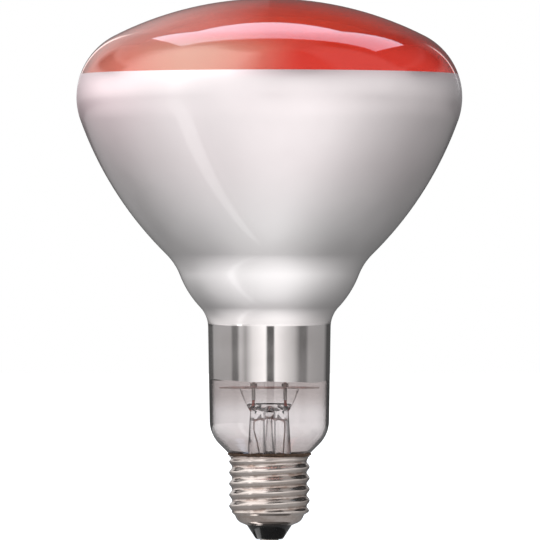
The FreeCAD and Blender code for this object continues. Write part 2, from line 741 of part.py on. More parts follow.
def make_stem():
    body = turned_piece("glass_stem", [
        ("0", "press_floor_height"),
        ("press_foot_radius - stem_wall", "press_floor_height"),
        ("flare_bend_radius - stem_wall", "flare_bend_height", "flare_bend_arc + stem_wall"),
        ("flare_lip_radius - stem_wall", "lip_foot_height"),
        ("base_radius", "lip_foot_height"),
        ("base_radius", "mouth_height"),
        ("flare_lip_radius", "mouth_height"),
        ("flare_bend_radius", "flare_bend_height", "flare_bend_arc"),
        ("press_foot_radius", "press_foot_height"),
        ("0", "press_foot_height"),
    ])
    sections = [
        slot_sketch(body, "press_foot", "press_foot_height", "(2 * press_foot_radius - stem_wall)",
                    "(2 * press_foot_radius - 2 * stem_wall)"),
        slot_sketch(body, "press_waist", "press_waist_height", "press_waist_width",
                    "press_waist_thickness"),
        slot_sketch(body, "press_top", "press_top_height", "press_top_width",
                    "press_top_thickness"),
    ]
    press = body.newObject("PartDesign::AdditiveLoft", "glass_stem_press")
    press.Profile = sections[0]
    press.Sections = sections[1:]
    doc.recompute()
    # The wires are sealed in the press: each lies in a hole of its own size
    for side in ("right", "left"):
        for name, top, foot, radius in (
                ("nickel", "press_top_height", "seal_top_height", "nickel_radius"),
                ("seal", "seal_top_height", "seal_foot_height", "seal_radius"),
                ("copper", "seal_foot_height", "press_floor_height", "copper_radius")):
            sketch = new_sketch(body, f"{name}_{side}", "XY_Plane", top)
            across = "lead_spread" if side == "right" else "-lead_spread"
            draw_circles(sketch, [(across, radius)])
            hole = body.newObject("PartDesign::Pocket", f"glass_stem_{name}_{side}_hole")
            hole.Profile = sketch
            hole.setExpression("Length", bound(f"{top} - {foot}"))
    # The bulb was pumped through the tube's bore and a hole blown out through the press's front
    sketch = new_sketch(body, "exhaust_bore", "XY_Plane", "exhaust_top_height")
    draw_circles(sketch, [("0", "exhaust_bore")])
    bore = body.newObject("PartDesign::Pocket", "glass_stem_exhaust_bore_pocket")
    bore.Profile = sketch
    bore.setExpression("Length", bound("exhaust_top_height - press_floor_height"))
    sketch = new_sketch(body, "exhaust_hole")
    circle = sketch.addGeometry(
        Part.Circle(point("0", "exhaust_hole_height"), UP, size("exhaust_hole_radius")))
    hold_at(sketch, circle, 3, "0", "exhaust_hole_height")
    hold(sketch, "Radius", circle, to="exhaust_hole_radius")
    hole = body.newObject("PartDesign::Pocket", "glass_stem_exhaust_hole_pocket")
    hole.Profile = sketch
    hole.setExpression("Length", bound("2 * press_foot_radius"))
    hole.Reversed = True


make_stem()

# Exhaust tube: hangs from the press inside the stem, drawn off and closed in the cap.

turned_piece("exhaust_tube", [
    ("exhaust_bore", "press_floor_height"),
    ("exhaust_bore", "exhaust_tip_height + 2 * exhaust_radius"),
    ("0", "exhaust_tip_height + exhaust_radius"),
    ("0", "exhaust_tip_height"),
    ("exhaust_radius / 3", "exhaust_tip_height"),
    ("exhaust_radius", "exhaust_tip_height + exhaust_radius"),
    ("exhaust_radius", "press_floor_height"),
])

# Wires: copper in the stem, red glass-sealing wire in the press, stiff nickel above it.

copper_top = [
    ("lead_spread", "seal_foot_height"),
    ("lead_spread", "copper_kink_height", "copper_bend"),
]
lead = bent_wire("lead_to_contact", copper_top + [
    ("contact_lead_offset", "contact_lead_height", "copper_bend"),
    ("contact_lead_offset", "contact_lead_turn_height", "copper_bend / 4"),
    ("0", "insulator_top_height + eyelet_radius", "copper_bend / 4"),
    ("0", "eyelet_foot_height"),
], "copper_radius")
turn_body(lead, "180")

bent_wire("lead_to_shell", copper_top + [
    ("shell_lead_offset", "shell_lead_height", "copper_bend"),
    ("shell_lead_offset", "shell_lead_turn_height", "copper_bend / 2"),
    ("thread_wall_radius - seat_gap", "shell_lead_end_height"),
], "copper_radius")

for side in ("right", "left"):
    pieces = [
        pad(new_body(f"dumet_seal_{side}"), "rod", "seal_foot_height",
            "seal_top_height - seal_foot_height", [("lead_spread", "seal_radius")]),
        pad(new_body(f"shield_clip_{side}"), "sleeve", "shield_top_height", "clip_height",
            [("lead_spread", "clip_radius"), ("lead_spread", "nickel_radius")]),
    ]
    for piece in pieces:
        turn_body(piece, "0" if side == "right" else "180")
    lead = bent_wire(f"inner_lead_{side}", [
        ("0", "seal_top_height"),
        ("0", "nickel_kink_height", "nickel_bend"),
        ("lead_reach", "nickel_rise_height", "nickel_bend"),
        ("lead_reach", "nickel_end_height"),
    ], "nickel_radius")
    turn_body(lead, "-lead_turn" if side == "right" else "lead_turn - 180")
    across = "lead_spread" if side == "right" else "-lead_spread"
    lead.setExpression("Placement.Base.x", bound(across))

# Heat shield: mica disc that rests on the press and keeps the cap cool.

shield = new_body("heat_shield")
pad(shield, "disc", "press_top_height", "shield_thickness", [
    ("0", "shield_radius"),
    ("0", "cane_radius + hole_clearance"),
    ("lead_spread", "nickel_radius + hole_clearance"),
    ("-lead_spread", "nickel_radius + hole_clearance"),
])

# Glass cane: a rod fused to the press, with a button that holds the support wires.

turned_piece("glass_cane", [
    ("0", "press_top_height"),
    ("cane_radius", "press_top_height"),
    ("cane_radius", "button_foot_height"),
    ("button_radius", "button_foot_height", "cane_radius / 2"),
    ("button_radius", "button_top_height", "cane_radius / 2"),
    ("0", "button_top_height"),
])

# Filament: a tungsten coil bent to an open ring, drawn here as the coil's outer shape.


def ring_piece(label, radii, arc, start):
    """A bent rod or sleeve that follows the filament's ring for part of a turn."""
    body = new_body(label)
    sketch = new_sketch(body, "section")
    for radius in radii:
        circle = sketch.addGeometry(
            Part.Circle(point("ring_radius", "ring_height"), UP, size(radius)))
        hold_at(sketch, circle, 3, "ring_radius", "ring_height")
        hold(sketch, "Radius", circle, to=radius)
    revolve(body, sketch, arc)
    return turn_body(body, start)


ring_piece("filament", ["coil_radius"], "360 - ring_gap_angle", "ring_gap_angle / 2 - 90")
ring_piece("filament_clamp_right", ["clamp_radius", "coil_radius"], "clamp_angle",
           "ring_gap_angle / 2 - 90")
ring_piece("filament_clamp_left", ["clamp_radius", "coil_radius"], "clamp_angle",
           "270 - ring_gap_angle / 2 - clamp_angle")

# Support wires: molybdenum, from the button to a loop round the filament.

for number, turn in enumerate((
        "90 - hook_outer_angle", "90 - hook_inner_angle",
        "90 + hook_inner_angle", "90 + hook_outer_angle"), start=1):
    hook = bent_wire(f"filament_support_{number}", [
        ("ring_radius", "ring_height - loop_radius"),
        ("ring_radius", "hook_rise_height", "hook_bend"),
        ("hook_turn_radius", "button_middle_height", "hook_bend"),
        ("button_radius", "button_middle_height"),
    ], "hook_radius")
    loop = hook.newObject("PartDesign::AdditiveTorus", f"{hook.Name}_loop")
    loop.AttachmentSupport = [(origin_plane(hook, "XZ_Plane"), "")]
    loop.MapMode = "FlatFace"
    loop.setExpression("Radius1", bound("loop_radius"))
    loop.setExpression("Radius2", bound("hook_radius"))
    loop.setExpression("AttachmentOffset.Base.x", bound("ring_radius"))
    loop.setExpression("AttachmentOffset.Base.y", bound("ring_height"))
    turn_body(hook, turn)

doc.recompute()

# Every object is sound before anything is written

for item in doc.Objects:
    if any(word in ("Invalid", "Error") for word in item.State):
        raise SystemExit(f"{item.Name} failed: {item.State} {item.getStatusString()}")

parts = [item for item in doc.Objects
         if item.TypeId == "PartDesign::Body"
         or (item.TypeId == "Part::Feature" and item.getParentGeoFeatureGroup() is None)]
for item in parts:
    if item.Shape.isNull() or not item.Shape.isValid():
        raise SystemExit(f"{item.Label} has no sound solid")

os.makedirs("parts", exist_ok=True)
for item in parts:
    item.Shape.exportStep(f"parts/{item.Label}.step")
    print(item.Label, len(item.Shape.Solids), "solid", round(item.Shape.Volume, 3), "mm3")
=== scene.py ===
import math

import bmesh
import bpy
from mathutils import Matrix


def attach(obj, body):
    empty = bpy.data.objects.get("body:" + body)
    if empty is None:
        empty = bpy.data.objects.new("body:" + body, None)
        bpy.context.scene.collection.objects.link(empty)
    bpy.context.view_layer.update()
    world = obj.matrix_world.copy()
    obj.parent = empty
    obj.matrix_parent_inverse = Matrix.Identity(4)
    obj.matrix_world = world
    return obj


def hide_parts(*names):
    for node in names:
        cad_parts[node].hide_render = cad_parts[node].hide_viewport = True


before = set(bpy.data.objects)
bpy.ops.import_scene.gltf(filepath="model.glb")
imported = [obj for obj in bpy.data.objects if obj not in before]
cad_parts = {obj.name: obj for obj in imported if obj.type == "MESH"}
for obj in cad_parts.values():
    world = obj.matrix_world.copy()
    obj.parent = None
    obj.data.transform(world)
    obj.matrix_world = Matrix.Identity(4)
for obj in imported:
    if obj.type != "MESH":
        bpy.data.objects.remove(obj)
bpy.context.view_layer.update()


# Bulb: one blown piece of hard glass, turned in a mould, with a flat domed face, a wide body that
# narrows through a collar into a straight neck, and a mouth sealed to the stem inside the cap.
# Clear red lacquer covers its face, and a metal film lines the inside of the body and neck.

mm = 0.001
AROUND = 192
GLASS_WALL = 0.9
FACE_EDGE_HEIGHT = 151.55
FILM_FOOT_HEIGHT = 52.3
FILM_WAVE = 0.35
NECK_RINGS = (62.0, 54.5, FILM_FOOT_HEIGHT, 50.5, 45.0)
INSIDE_SPACING = 2.5
SHARP_DEGREES = 40
CLEAR, LACQUERED, MIRRORED = range(3)

# Arcs of the outline from the face down: centre across and up, radius, first and last angle.
# A hollow arc has its centre outside the glass.
BULB_ARCS = [
    (0.0, 65.3, 111.0, 90.0, 63.017, False),
    (40.2, 144.255, 22.4, 63.017, 19.412, False),
    (40.2, 144.255, 22.4, 19.412, -19.787, False),
    (-47.591, 175.84, 115.7, -19.787, -45.475, False),
    (47.214, 79.45, 19.5, 134.525, 158.805, True),
    (-0.802, 98.07, 32.0, -21.195, -43.358, False),
    (29.299, 69.646, 9.4, 136.642, 179.064, True),
    (8.501, 39.378, 10.9, -0.936, -45.0, False),
    (14.2, 25.419, 3.0, 135.0, 180.0, True),
]
MOUTH_HEIGHT = 18.0
BASE_RADIUS = 11.2


def bulb_line(depth, spacing=1.5):
    """The bulb's outline at a depth under its outside, from the face's middle to the mouth, with
    a point every so many degrees of its arcs."""
    line = []
    for across, up, radius, first, last, hollow in BULB_ARCS:
        reach = radius + depth if hollow else radius - depth
        count = max(2, round(abs(last - first) / spacing))
        for index in range(count + 1):
            angle = math.radians(first + (last - first) * index / count)
            spot = (across + reach * math.cos(angle), up + reach * math.sin(angle))
            if not line or math.dist(spot, line[-1]) > 0.01:
                line.append(spot)
    line[0] = (0.0, line[0][1])
    line.append((BASE_RADIUS - depth, MOUTH_HEIGHT))
    foot = next(index for index, spot in enumerate(line) if spot[1] < FILM_FOOT_HEIGHT)
    (upper, top), (lower, bottom) = line[foot - 1:foot + 1]
    slope = (upper - lower) / (top - bottom)
    line[foot:foot] = [(lower + (height - bottom) * slope, height) for height in NECK_RINGS]
    return line


def turned(name, line, across=0.0, around=AROUND):
    """A closed skin turned from points (radius, height) in mm. Points on the axis become poles."""
    points, rings = [], []
    for radius, height in line:
        if radius < 1e-6:
            rings.append([len(points)] * around)
            points.append((across * mm, 0, height * mm))
        else:
            rings.append(list(range(len(points), len(points) + around)))
            for index in range(around):
                angle = 2 * math.pi * index / around
                points.append(((across + radius * math.cos(angle)) * mm,
                               radius * math.sin(angle) * mm, height * mm))
    if not (line[0][0] < 1e-6 and line[-1][0] < 1e-6):
        rings.append(rings[0])
    return skin(name, points, rings)


def skin(name, points, rings):
    """A mesh object from rings of points that follow one another."""
    faces = []
    for lower, upper in zip(rings, rings[1:]):
        for index in range(len(lower)):
            after = (index + 1) % len(lower)
            corners = [lower[index], lower[after], upper[after], upper[index]]
            faces.append(list(dict.fromkeys(corners)))
    mesh = bpy.data.meshes.new(name)
    mesh.from_pydata(points, [], faces)
    face_outwards(mesh)
    mesh.shade_smooth()
    mesh.set_sharp_from_angle(angle=math.radians(SHARP_DEGREES))
    piece = bpy.data.objects.new(name, mesh)
    bpy.context.scene.collection.objects.link(piece)
    return piece


def face_outwards(mesh):
    form = bmesh.new()
    form.from_mesh(mesh)
    bmesh.ops.recalc_face_normals(form, faces=form.faces)
    form.to_mesh(mesh)
    form.free()


def new_material(name):
    material = bpy.data.materials.new(name)
    material.use_nodes = True
    return material, material.node_tree.nodes["Principled BSDF"]


def add(material, kind, **values):
    """A shader node with some of its inputs and settings set."""
    node = material.node_tree.nodes.new(kind)
    for key, value in values.items():
        label = key.replace("_", " ")
        if label in node.inputs:
            node.inputs[label].default_value = value
        else:
            setattr(node, key, value)
    return node


def join(material, source, target):
    material.node_tree.links.new(source, target)


def place_of(material):
    """Object coordinates, in metres in the lamp's own frame."""
    return add(material, "ShaderNodeTexCoord").outputs["Object"]


def grain(material, scale, detail=3.0, roughness=0.5, stretch=None):
    """The grey value of a noise pattern fixed to the piece."""
    noise = add(material, "ShaderNodeTexNoise", Scale=scale, Detail=detail, Roughness=roughness)
    source = place_of(material)
    if stretch:
        mapping = add(material, "ShaderNodeMapping", Scale=stretch)
        join(material, source, mapping.inputs["Vector"])
        source = mapping.outputs["Vector"]
    join(material, source, noise.inputs["Vector"])
    return noise.outputs["Fac"]


def axes_of(material):
    """X, Y and Z of the place on the piece, each a socket."""
    split = add(material, "ShaderNodeSeparateXYZ")
    join(material, place_of(material), split.inputs["Vector"])
    return split.outputs


def height_of(material):
    return axes_of(material)["Z"]


def abs_of(material, value, middle):
    """How far a value is from a middle one."""
    return sum_of(material.node_tree, "ABSOLUTE", sum_of(
        material.node_tree, "SUBTRACT", value, middle))


def spread(material, value, low, high, start, end):
    """A value carried from one range to another and held at its ends."""
    node = add(material, "ShaderNodeMapRange", interpolation_type="SMOOTHSTEP")
    for key, number in (("From Min", low), ("From Max", high), ("To Min", start), ("To Max", end)):
        node.inputs[key].default_value = number
    join(material, value, node.inputs["Value"])
    return node.outputs["Result"]


def blended(material, share, first, second):
    """One colour at share 0 and another at share 1. Either may be a socket."""
    node = add(material, "ShaderNodeMix", data_type="RGBA")
    join(material, share, node.inputs[0])
    for socket, colour in ((node.inputs[6], first), (node.inputs[7], second)):
        if isinstance(colour, tuple):
            socket.default_value = (*colour, 1.0)
        else:
            join(material, colour, socket)
    return node.outputs[2]


def step(tree, kind, settings=None, **inputs):
    """A node of the tree. An input takes a number or another node's socket."""
    node = tree.nodes.new(kind)
    for key, value in (settings or {}).items():
        setattr(node, key, value)
    for key, value in inputs.items():
        socket = node.inputs[int(key[1:]) if key[1:].isdigit() else key.replace("_", " ")]
        if isinstance(value, bpy.types.NodeSocket):
            tree.links.new(value, socket)
        else:
            socket.default_value = value
    return node


def sum_of(tree, operation, *values):
    node = step(tree, "ShaderNodeMath", {"operation": operation},
                **{f"i{index}": value for index, value in enumerate(values)})
    return node.outputs["Value"]


def glass(name, tint, shade, clearness=None):
    """Glass that tints the light of the lamp. shade and clearness give a socket each."""
    material, surface = new_material(name)
    surface.inputs["Transmission Weight"].default_value = 1.0
    surface.inputs["Roughness"].default_value = 0.0
    surface.inputs["IOR"].default_value = 1.5
    join(material, shade(material), surface.inputs["Base Color"])
    if clearness:
        join(material, clearness(material), surface.inputs["Transmission Weight"])
    light = add(material, "ShaderNodeLightPath")
    clear = add(material, "ShaderNodeBsdfTransparent", Color=(*tint, 1.0))
    mix = add(material, "ShaderNodeMixShader")
    output = material.node_tree.nodes["Material Output"]
    join(material, light.outputs["Is Shadow Ray"], mix.inputs["Fac"])
    join(material, surface.outputs["BSDF"], mix.inputs[1])
    join(material, clear.outputs["BSDF"], mix.inputs[2])
    join(material, mix.outputs["Shader"], output.inputs["Surface"])
    return material


def clear_shade(material):
    """Nearly colourless above, and greyer in the neck, least so round its middle."""
    height = height_of(material)
    # The neck is tinted greyer, least so round its middle.
    neck_grey = blended(material, spread(material, abs_of(material, height, 0.0385), 0.002, 0.011,
                                     0.0, 1.0), (0.85, 0.82, 0.825), (0.66, 0.62, 0.615))
    return blended(material, spread(material, height, 0.052, 0.056, 0.0, 1.0),
                   neck_grey, (0.93, 0.93, 0.93))


def red_shade(material):
    """Clear lacquer with painted light: deeper on the right than on the left, and a painted warm
    glow at front left.
    """
    place = axes_of(material)
    # Painted light: the lacquer is paler on the left and deeper on the right, as the light falls.
    side = spread(material, place["X"], -0.060, 0.012, 0.0, 1.0)
    cloud = spread(material, grain(material, 26.0), 0.35, 0.65, 0.0, 1.0)
    crown = spread(material, place["Z"], 0.1590, 0.1680, 0.0, 1.0)
    deep = blended(material, cloud, (0.92, 0.068, 0.048), (0.87, 0.058, 0.040))
    deep = blended(material, crown, deep, (0.98, 0.06, 0.018))
    pale = blended(material, cloud, (1.0, 0.34, 0.26), (0.98, 0.31, 0.23))
    pale = blended(material, crown, pale, (1.0, 0.32, 0.24))
    # Painted light: a warm glow at front left, fading out higher up the face.
    apart = add(material, "ShaderNodeVectorMath", operation="DISTANCE")
    join(material, place_of(material), apart.inputs[0])
    apart.inputs[1].default_value = (-0.020, -0.051, 0.1560)
    painted_glow = sum_of(material.node_tree, "MULTIPLY",
                   spread(material, apart.outputs["Value"], 0.002, 0.032, 0.95, 0.0),
                   spread(material, place["Z"], 0.1575, 0.1640, 1.0, 0.0))
    return blended(material, painted_glow, blended(material, side, pale, deep), (1.0, 0.93, 0.72))


def lacquer_clearness(material):
    """The lacquer lies thicker, and so less clear, round the middle of the face."""
    return spread(material, height_of(material), 0.1600, 0.1690, 0.88, 0.72)


def mirrored():
    """Aluminium film under clear glass: satin on the body, bright and greyer in the neck, and
    painted pink light of the red face on the upper body, on its left and near the lacquer."""
    material, surface = new_material("mirrored glass")
    place = axes_of(material)
    height = place["Z"]
    surface.inputs["Metallic"].default_value = 1.0
    join(material, spread(material, height, 0.1340, 0.1410, 1.0, 0.3),
         surface.inputs["Coat Weight"])
    surface.inputs["Coat Roughness"].default_value = 0.02
    surface.inputs["Coat IOR"].default_value = 1.62
    satin = spread(material, height, 0.0702, 0.0712, 0.10, 0.40)
    cloud = spread(material, grain(material, 60.0, 4.0), 0.3, 0.7, -0.02, 0.03)
    join(material, sum_of(material.node_tree, "ADD", satin, cloud), surface.inputs["Roughness"])
    cloudy = spread(material, grain(material, 35.0), 0.3, 0.7, 0.0, 1.0)
    # Painted light: the upper body is pinker and a little darker than the lower.
    tone = blended(material, spread(material, height, 0.098, 0.125, 0.0, 1.0),
                   blended(material, cloudy, (0.96, 0.925, 0.93), (0.99, 0.96, 0.96)),
                   blended(material, cloudy, (0.86, 0.79, 0.80), (0.90, 0.83, 0.84)))
    grey = blended(material, spread(material, grain(material, 90.0), 0.3, 0.7, 0.0, 1.0),
                   (0.77, 0.72, 0.71), (0.82, 0.77, 0.76))
    body = blended(material, spread(material, height, 0.066, 0.080, 0.0, 1.0), grey, tone)
    # Painted pink light of the red face on the upper left of the body and just under the lacquer.
    side = sum_of(material.node_tree, "MULTIPLY",
                  spread(material, place["X"], -0.064, -0.026, 0.85, 0.0),
                  spread(material, height, 0.112, 0.142, 0.0, 1.0))
    painted_red_light = sum_of(material.node_tree, "MAXIMUM", side,
                   spread(material, height, 0.1480, 0.1520, 0.0, 0.6))
    join(material, blended(material, painted_red_light, body, (0.96, 0.76, 0.80)), surface.inputs["Base Color"])
    return material


clear_glass = glass("clear glass", (0.93, 0.93, 0.93), clear_shade)
red_glass = glass("red lacquered glass", (0.85, 0.25, 0.20), red_shade, lacquer_clearness)

outside = bulb_line(0.0)
bulb = turned("bulb", outside + bulb_line(GLASS_WALL, INSIDE_SPACING)[::-1])
for vertex in bulb.data.vertices:
    if abs(vertex.co.z / mm - FILM_FOOT_HEIGHT) < 0.01:
        angle = math.atan2(vertex.co.y, vertex.co.x)
        vertex.co.z += (math.sin(2 * angle + 0.6) + 0.45 * math.sin(5 * angle + 2.1)
                        + 0.25 * math.sin(11 * angle)) * FILM_WAVE * mm
for material in (clear_glass, red_glass, mirrored()):
    bulb.data.materials.append(material)
for face in bulb.data.polygons:
    height = face.center.z / mm
    if height > FACE_EDGE_HEIGHT:
        on_outside = face.index // AROUND < len(outside) - 1
        face.material_index = LACQUERED if on_outside else CLEAR
    elif height > FILM_FOOT_HEIGHT:
        face.material_index = MIRRORED
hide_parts("glass_face", "glass_reflector", "glass_neck")
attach(bulb, "root")


# Stem: a tube of soft glass flared out to the bulb's mouth. Its upper end was pinched flat
# while hot round the wires, and a small hole was blown in the front of the pinch.

STEM_AROUND = 128
TUBE_RADIUS = 6.25
PRESS_FOOT_HEIGHT = 42.4
PRESS_RISE = 7.0
PRESS_RINGS = 32
PRESS_HALF_WIDTH = 9.6
SHOULDER_HALF_DEPTH = 2.5
SHOULDER_SHARE = 0.40
TOP_THINNING = 0.5
CORNER_POWER = 2.2
TOP_ROUNDING = 0.38
TOP_INSET = 0.4 / 1.75
TOP_RINGS = 5
WIRE_SWELL = 0.30
WIRE_SWELL_REACH = 1.35
LEAD_SPREAD = 5.1
BLOWN_HOLE_HEIGHT = 41.6


def rounded_line(corners, spacing=12.0):
    """Points (across, up) in mm along straight runs. A corner that has a third number is rounded
    to that radius, with a point every so many degrees."""
    line = []
    for index, corner in enumerate(corners):
        if len(corner) == 2:
            line.append(corner)
            continue
        here = corner[:2]
        before, after = corners[index - 1][:2], corners[(index + 1) % len(corners)][:2]
        back = [(before[axis] - here[axis]) / math.dist(before, here) for axis in (0, 1)]
        ahead = [(after[axis] - here[axis]) / math.dist(after, here) for axis in (0, 1)]
        half = math.acos(max(-1, min(1, back[0] * ahead[0] + back[1] * ahead[1]))) / 2
        middle = [back[axis] + ahead[axis] for axis in (0, 1)]
        length = math.hypot(*middle)
        centre = [here[axis] + middle[axis] / length * corner[2] / math.sin(half)
                  for axis in (0, 1)]
        run = corner[2] / math.tan(half)
        first = math.atan2(here[1] + back[1] * run - centre[1], here[0] + back[0] * run - centre[0])
        last = math.atan2(here[1] + ahead[1] * run - centre[1],
                          here[0] + ahead[0] * run - centre[0])
        turn = (last - first + math.pi) % (2 * math.pi) - math.pi
        count = max(2, round(abs(math.degrees(turn)) / spacing))
        for part in range(count + 1):
            angle = first + turn * part / count
            line.append((centre[0] + corner[2] * math.cos(angle),
                         centre[1] + corner[2] * math.sin(angle)))
    return line


def ring_of(points, shape, height, around=STEM_AROUND):
    """A level ring whose point at each angle comes from shape(angle), in mm."""
    start = len(points)
    for index in range(around):
        across, along = shape(2 * math.pi * index / around)
        points.append((across * mm, along * mm, height * mm))
    return list(range(start, start + around))


def pinched(share):
    """The section of the pinch, from the round tube at share 0 to the flat top at share 1."""
    half_width = TUBE_RADIUS + (PRESS_HALF_WIDTH - TUBE_RADIUS) * share ** 0.8
    shoulder = math.sin(min(1, share / SHOULDER_SHARE) * math.pi / 2)
    half_depth = (TUBE_RADIUS + (SHOULDER_HALF_DEPTH - TUBE_RADIUS) * shoulder
                  - TOP_THINNING * share)
    power = 2 / (2 + CORNER_POWER * shoulder)

    def shape(angle):
        across = half_width * math.copysign(abs(math.cos(angle)) ** power, math.cos(angle))
        along = half_depth * math.copysign(abs(math.sin(angle)) ** power, math.sin(angle))
        for wire in (-LEAD_SPREAD, LEAD_SPREAD, 0.0):
            along += math.copysign(WIRE_SWELL, along) * share * math.exp(
                -((across - wire) / WIRE_SWELL_REACH) ** 2) * min(1, abs(along))
        return across, along
    return shape


def make_stem():
    points = []
    inner = rounded_line([(0.0, 40.0), (5.45, 40.0, 0.9), (6.5, 24.5, 22.8), (9.5, 17.2)], 3.0)
    outer = rounded_line([(11.2, 17.2), (11.2, 17.96), (10.3, 17.96), (7.3, 24.5, 22.0),
                          (TUBE_RADIUS, PRESS_FOOT_HEIGHT)], 3.0)
    rings = [[0] * STEM_AROUND]
    points.append((0, 0, inner[0][1] * mm))
    for radius, height in inner[1:] + outer:
        rings.append(ring_of(points, lambda angle, r=radius: (
            r * math.cos(angle), r * math.sin(angle)), height))
    for index in range(1, PRESS_RINGS + 1):
        share = index / PRESS_RINGS
        rings.append(ring_of(points, pinched(share), PRESS_FOOT_HEIGHT + PRESS_RISE * share))
    top = pinched(1.0)
    top_height = PRESS_FOOT_HEIGHT + PRESS_RISE
    for index in range(1, TOP_RINGS + 1):
        turn = index / TOP_RINGS * math.pi / 2
        edge = 1 - TOP_INSET * (1 - math.cos(turn))
        rings.append(ring_of(points, lambda angle, e=edge: tuple(
            value * e for value in top(angle)), top_height + TOP_ROUNDING * math.sin(turn)))
    rings.append([len(points)] * STEM_AROUND)
    points.append((0, 0, (top_height + TOP_ROUNDING + 0.01) * mm))
    return skin("stem", points, rings)


def painted_stem_shade(material):
    """Nearly colourless, with painted shade: darker where the sight line runs along the wall."""
    slant = add(material, "ShaderNodeLayerWeight", Blend=0.5).outputs["Facing"]
    # Painted shade, set by the angle of view.
    return blended(material, spread(material, slant, 0.40, 0.75, 0.0, 1.0),
                   (1.0, 1.0, 1.0), (0.66, 0.62, 0.62))


stem_glass = glass("stem glass", (0.93, 0.94, 0.94), painted_stem_shade)
stem = make_stem()
stem.data.materials.append(stem_glass)

# The bore goes up from the exhaust tube and the blown hole comes in from the front
bore = turned("bore", [(0.0, 39.0), (1.3, 39.0), (1.3, 41.9), (0.9, 42.6), (0.0, 42.9)], around=48)
hole = turned("blown_hole", rounded_line([(0.0, 0.0), (1.2, 0.0), (1.45, 6.0), (2.3, 9.0),
                                          (0.0, 9.0)]), around=48)
for vertex in hole.data.vertices:
    across, along, out = vertex.co
    vertex.co = (across, -out, BLOWN_HOLE_HEIGHT * mm + along * 0.8)
face_outwards(hole.data)
for cutter in (bore, hole):
    cut = stem.modifiers.new(cutter.name, "BOOLEAN")
    cut.operation = "DIFFERENCE"
    cut.object = cutter
    cut.solver = "EXACT"


def settled(piece):
    """The piece with its modifiers worked into its mesh."""
    graph = bpy.context.evaluated_depsgraph_get()
    piece.data = bpy.data.meshes.new_from_object(piece.evaluated_get(graph))
    piece.modifiers.clear()
    return piece


settled(stem)
for cutter in (bore, hole):
    bpy.data.objects.remove(cutter)
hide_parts("glass_stem")
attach(stem, "root")


# Exhaust tube: thin glass tube fused under the pinch. The lamp was pumped out through it, and it
# was then melted off and closed inside the cap.

exhaust = turned("exhaust_pipe", rounded_line([
    (0.0, 10.4), (1.0, 10.4, 0.5), (2.2, 13.2, 2.0), (2.2, 39.97), (1.3, 39.97),
    (1.3, 15.0, 1.0), (0.0, 12.9)], 10.0), around=64)
exhaust.data.materials.append(stem_glass)
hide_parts("exhaust_tube")
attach(exhaust, "root")


# Wires: bare copper leads that go down the stem to the contact and to the shell, and stiff
# nickel wires that leave the top of the pinch and fan out to the filament's ends.

COPPER_TOP = 42.9
COPPER_KINK = 36.5
COPPER_RADIUS = 0.24
COPPER_BEND = 2.0
NICKEL_FOOT = 46.0
NICKEL_RADIUS = 0.5
NICKEL_BEND = 6.0


def new_tree(name, sizes):
    """A Geometry Nodes tree with a geometry input, a material input and named sizes."""
    tree = bpy.data.node_groups.new(name, "GeometryNodeTree")
    face = tree.interface
    face.new_socket("Geometry", in_out="INPUT", socket_type="NodeSocketGeometry")
    face.new_socket("Finish", in_out="INPUT", socket_type="NodeSocketMaterial")
    for label, value in sizes.items():
        socket = face.new_socket(label, in_out="INPUT", socket_type="NodeSocketFloat")
        socket.default_value = value
    face.new_socket("Geometry", in_out="OUTPUT", socket_type="NodeSocketGeometry")
    tree.nodes.new("NodeGroupInput")
    tree.nodes.new("NodeGroupOutput")
    return tree


def close_tree(tree, geometry):
    """Realize Instances and Set Material, then the output."""
    given = tree.nodes["Group Input"].outputs
    real = step(tree, "GeometryNodeRealizeInstances", Geometry=geometry)
    dressed = step(tree, "GeometryNodeSetMaterial", Geometry=real.outputs["Geometry"],
                   Material=given["Finish"])
    tree.links.new(dressed.outputs["Geometry"], tree.nodes["Group Output"].inputs["Geometry"])


def grown(piece, tree, **values):
    """The piece with the tree's result as its plain mesh."""
    grower = piece.modifiers.new(tree.name, "NODES")
    grower.node_group = tree
    for item in tree.interface.items_tree:
        key = item.name.replace(" ", "_").lower()
        if item.item_type == "SOCKET" and item.in_out == "INPUT" and key in values:
            grower[item.identifier] = values[key]
    return settled(piece)


def route(name, runs):
    """An object that holds only the corners of wires, one run of points for each."""
    points, edges = [], []
    for run in runs:
        edges += [(len(points) + index, len(points) + index + 1) for index in range(len(run) - 1)]
        points += [tuple(value * mm for value in spot) for spot in run]
    mesh = bpy.data.meshes.new(name)
    mesh.from_pydata(points, edges, [])
    piece = bpy.data.objects.new(name, mesh)
    bpy.context.scene.collection.objects.link(piece)
    return piece


wire_tree = new_tree("Bent wire", {"Wire radius": 0.0002, "Bend radius": 0.002})
given = wire_tree.nodes["Group Input"].outputs
path = step(wire_tree, "GeometryNodeMeshToCurve", Mesh=given["Geometry"])
bends = step(wire_tree, "GeometryNodeFilletCurve", {"mode": "POLY"},
             Curve=path.outputs["Curve"], Count=8, Radius=given["Bend radius"],
             Limit_Radius=True)
across_wire = step(wire_tree, "GeometryNodeCurvePrimitiveCircle", Resolution=16,
                   Radius=given["Wire radius"])
tube = step(wire_tree, "GeometryNodeCurveToMesh", Curve=bends.outputs["Curve"],
            Profile_Curve=across_wire.outputs["Curve"], Fill_Caps=True)
close_tree(wire_tree, tube.outputs["Mesh"])


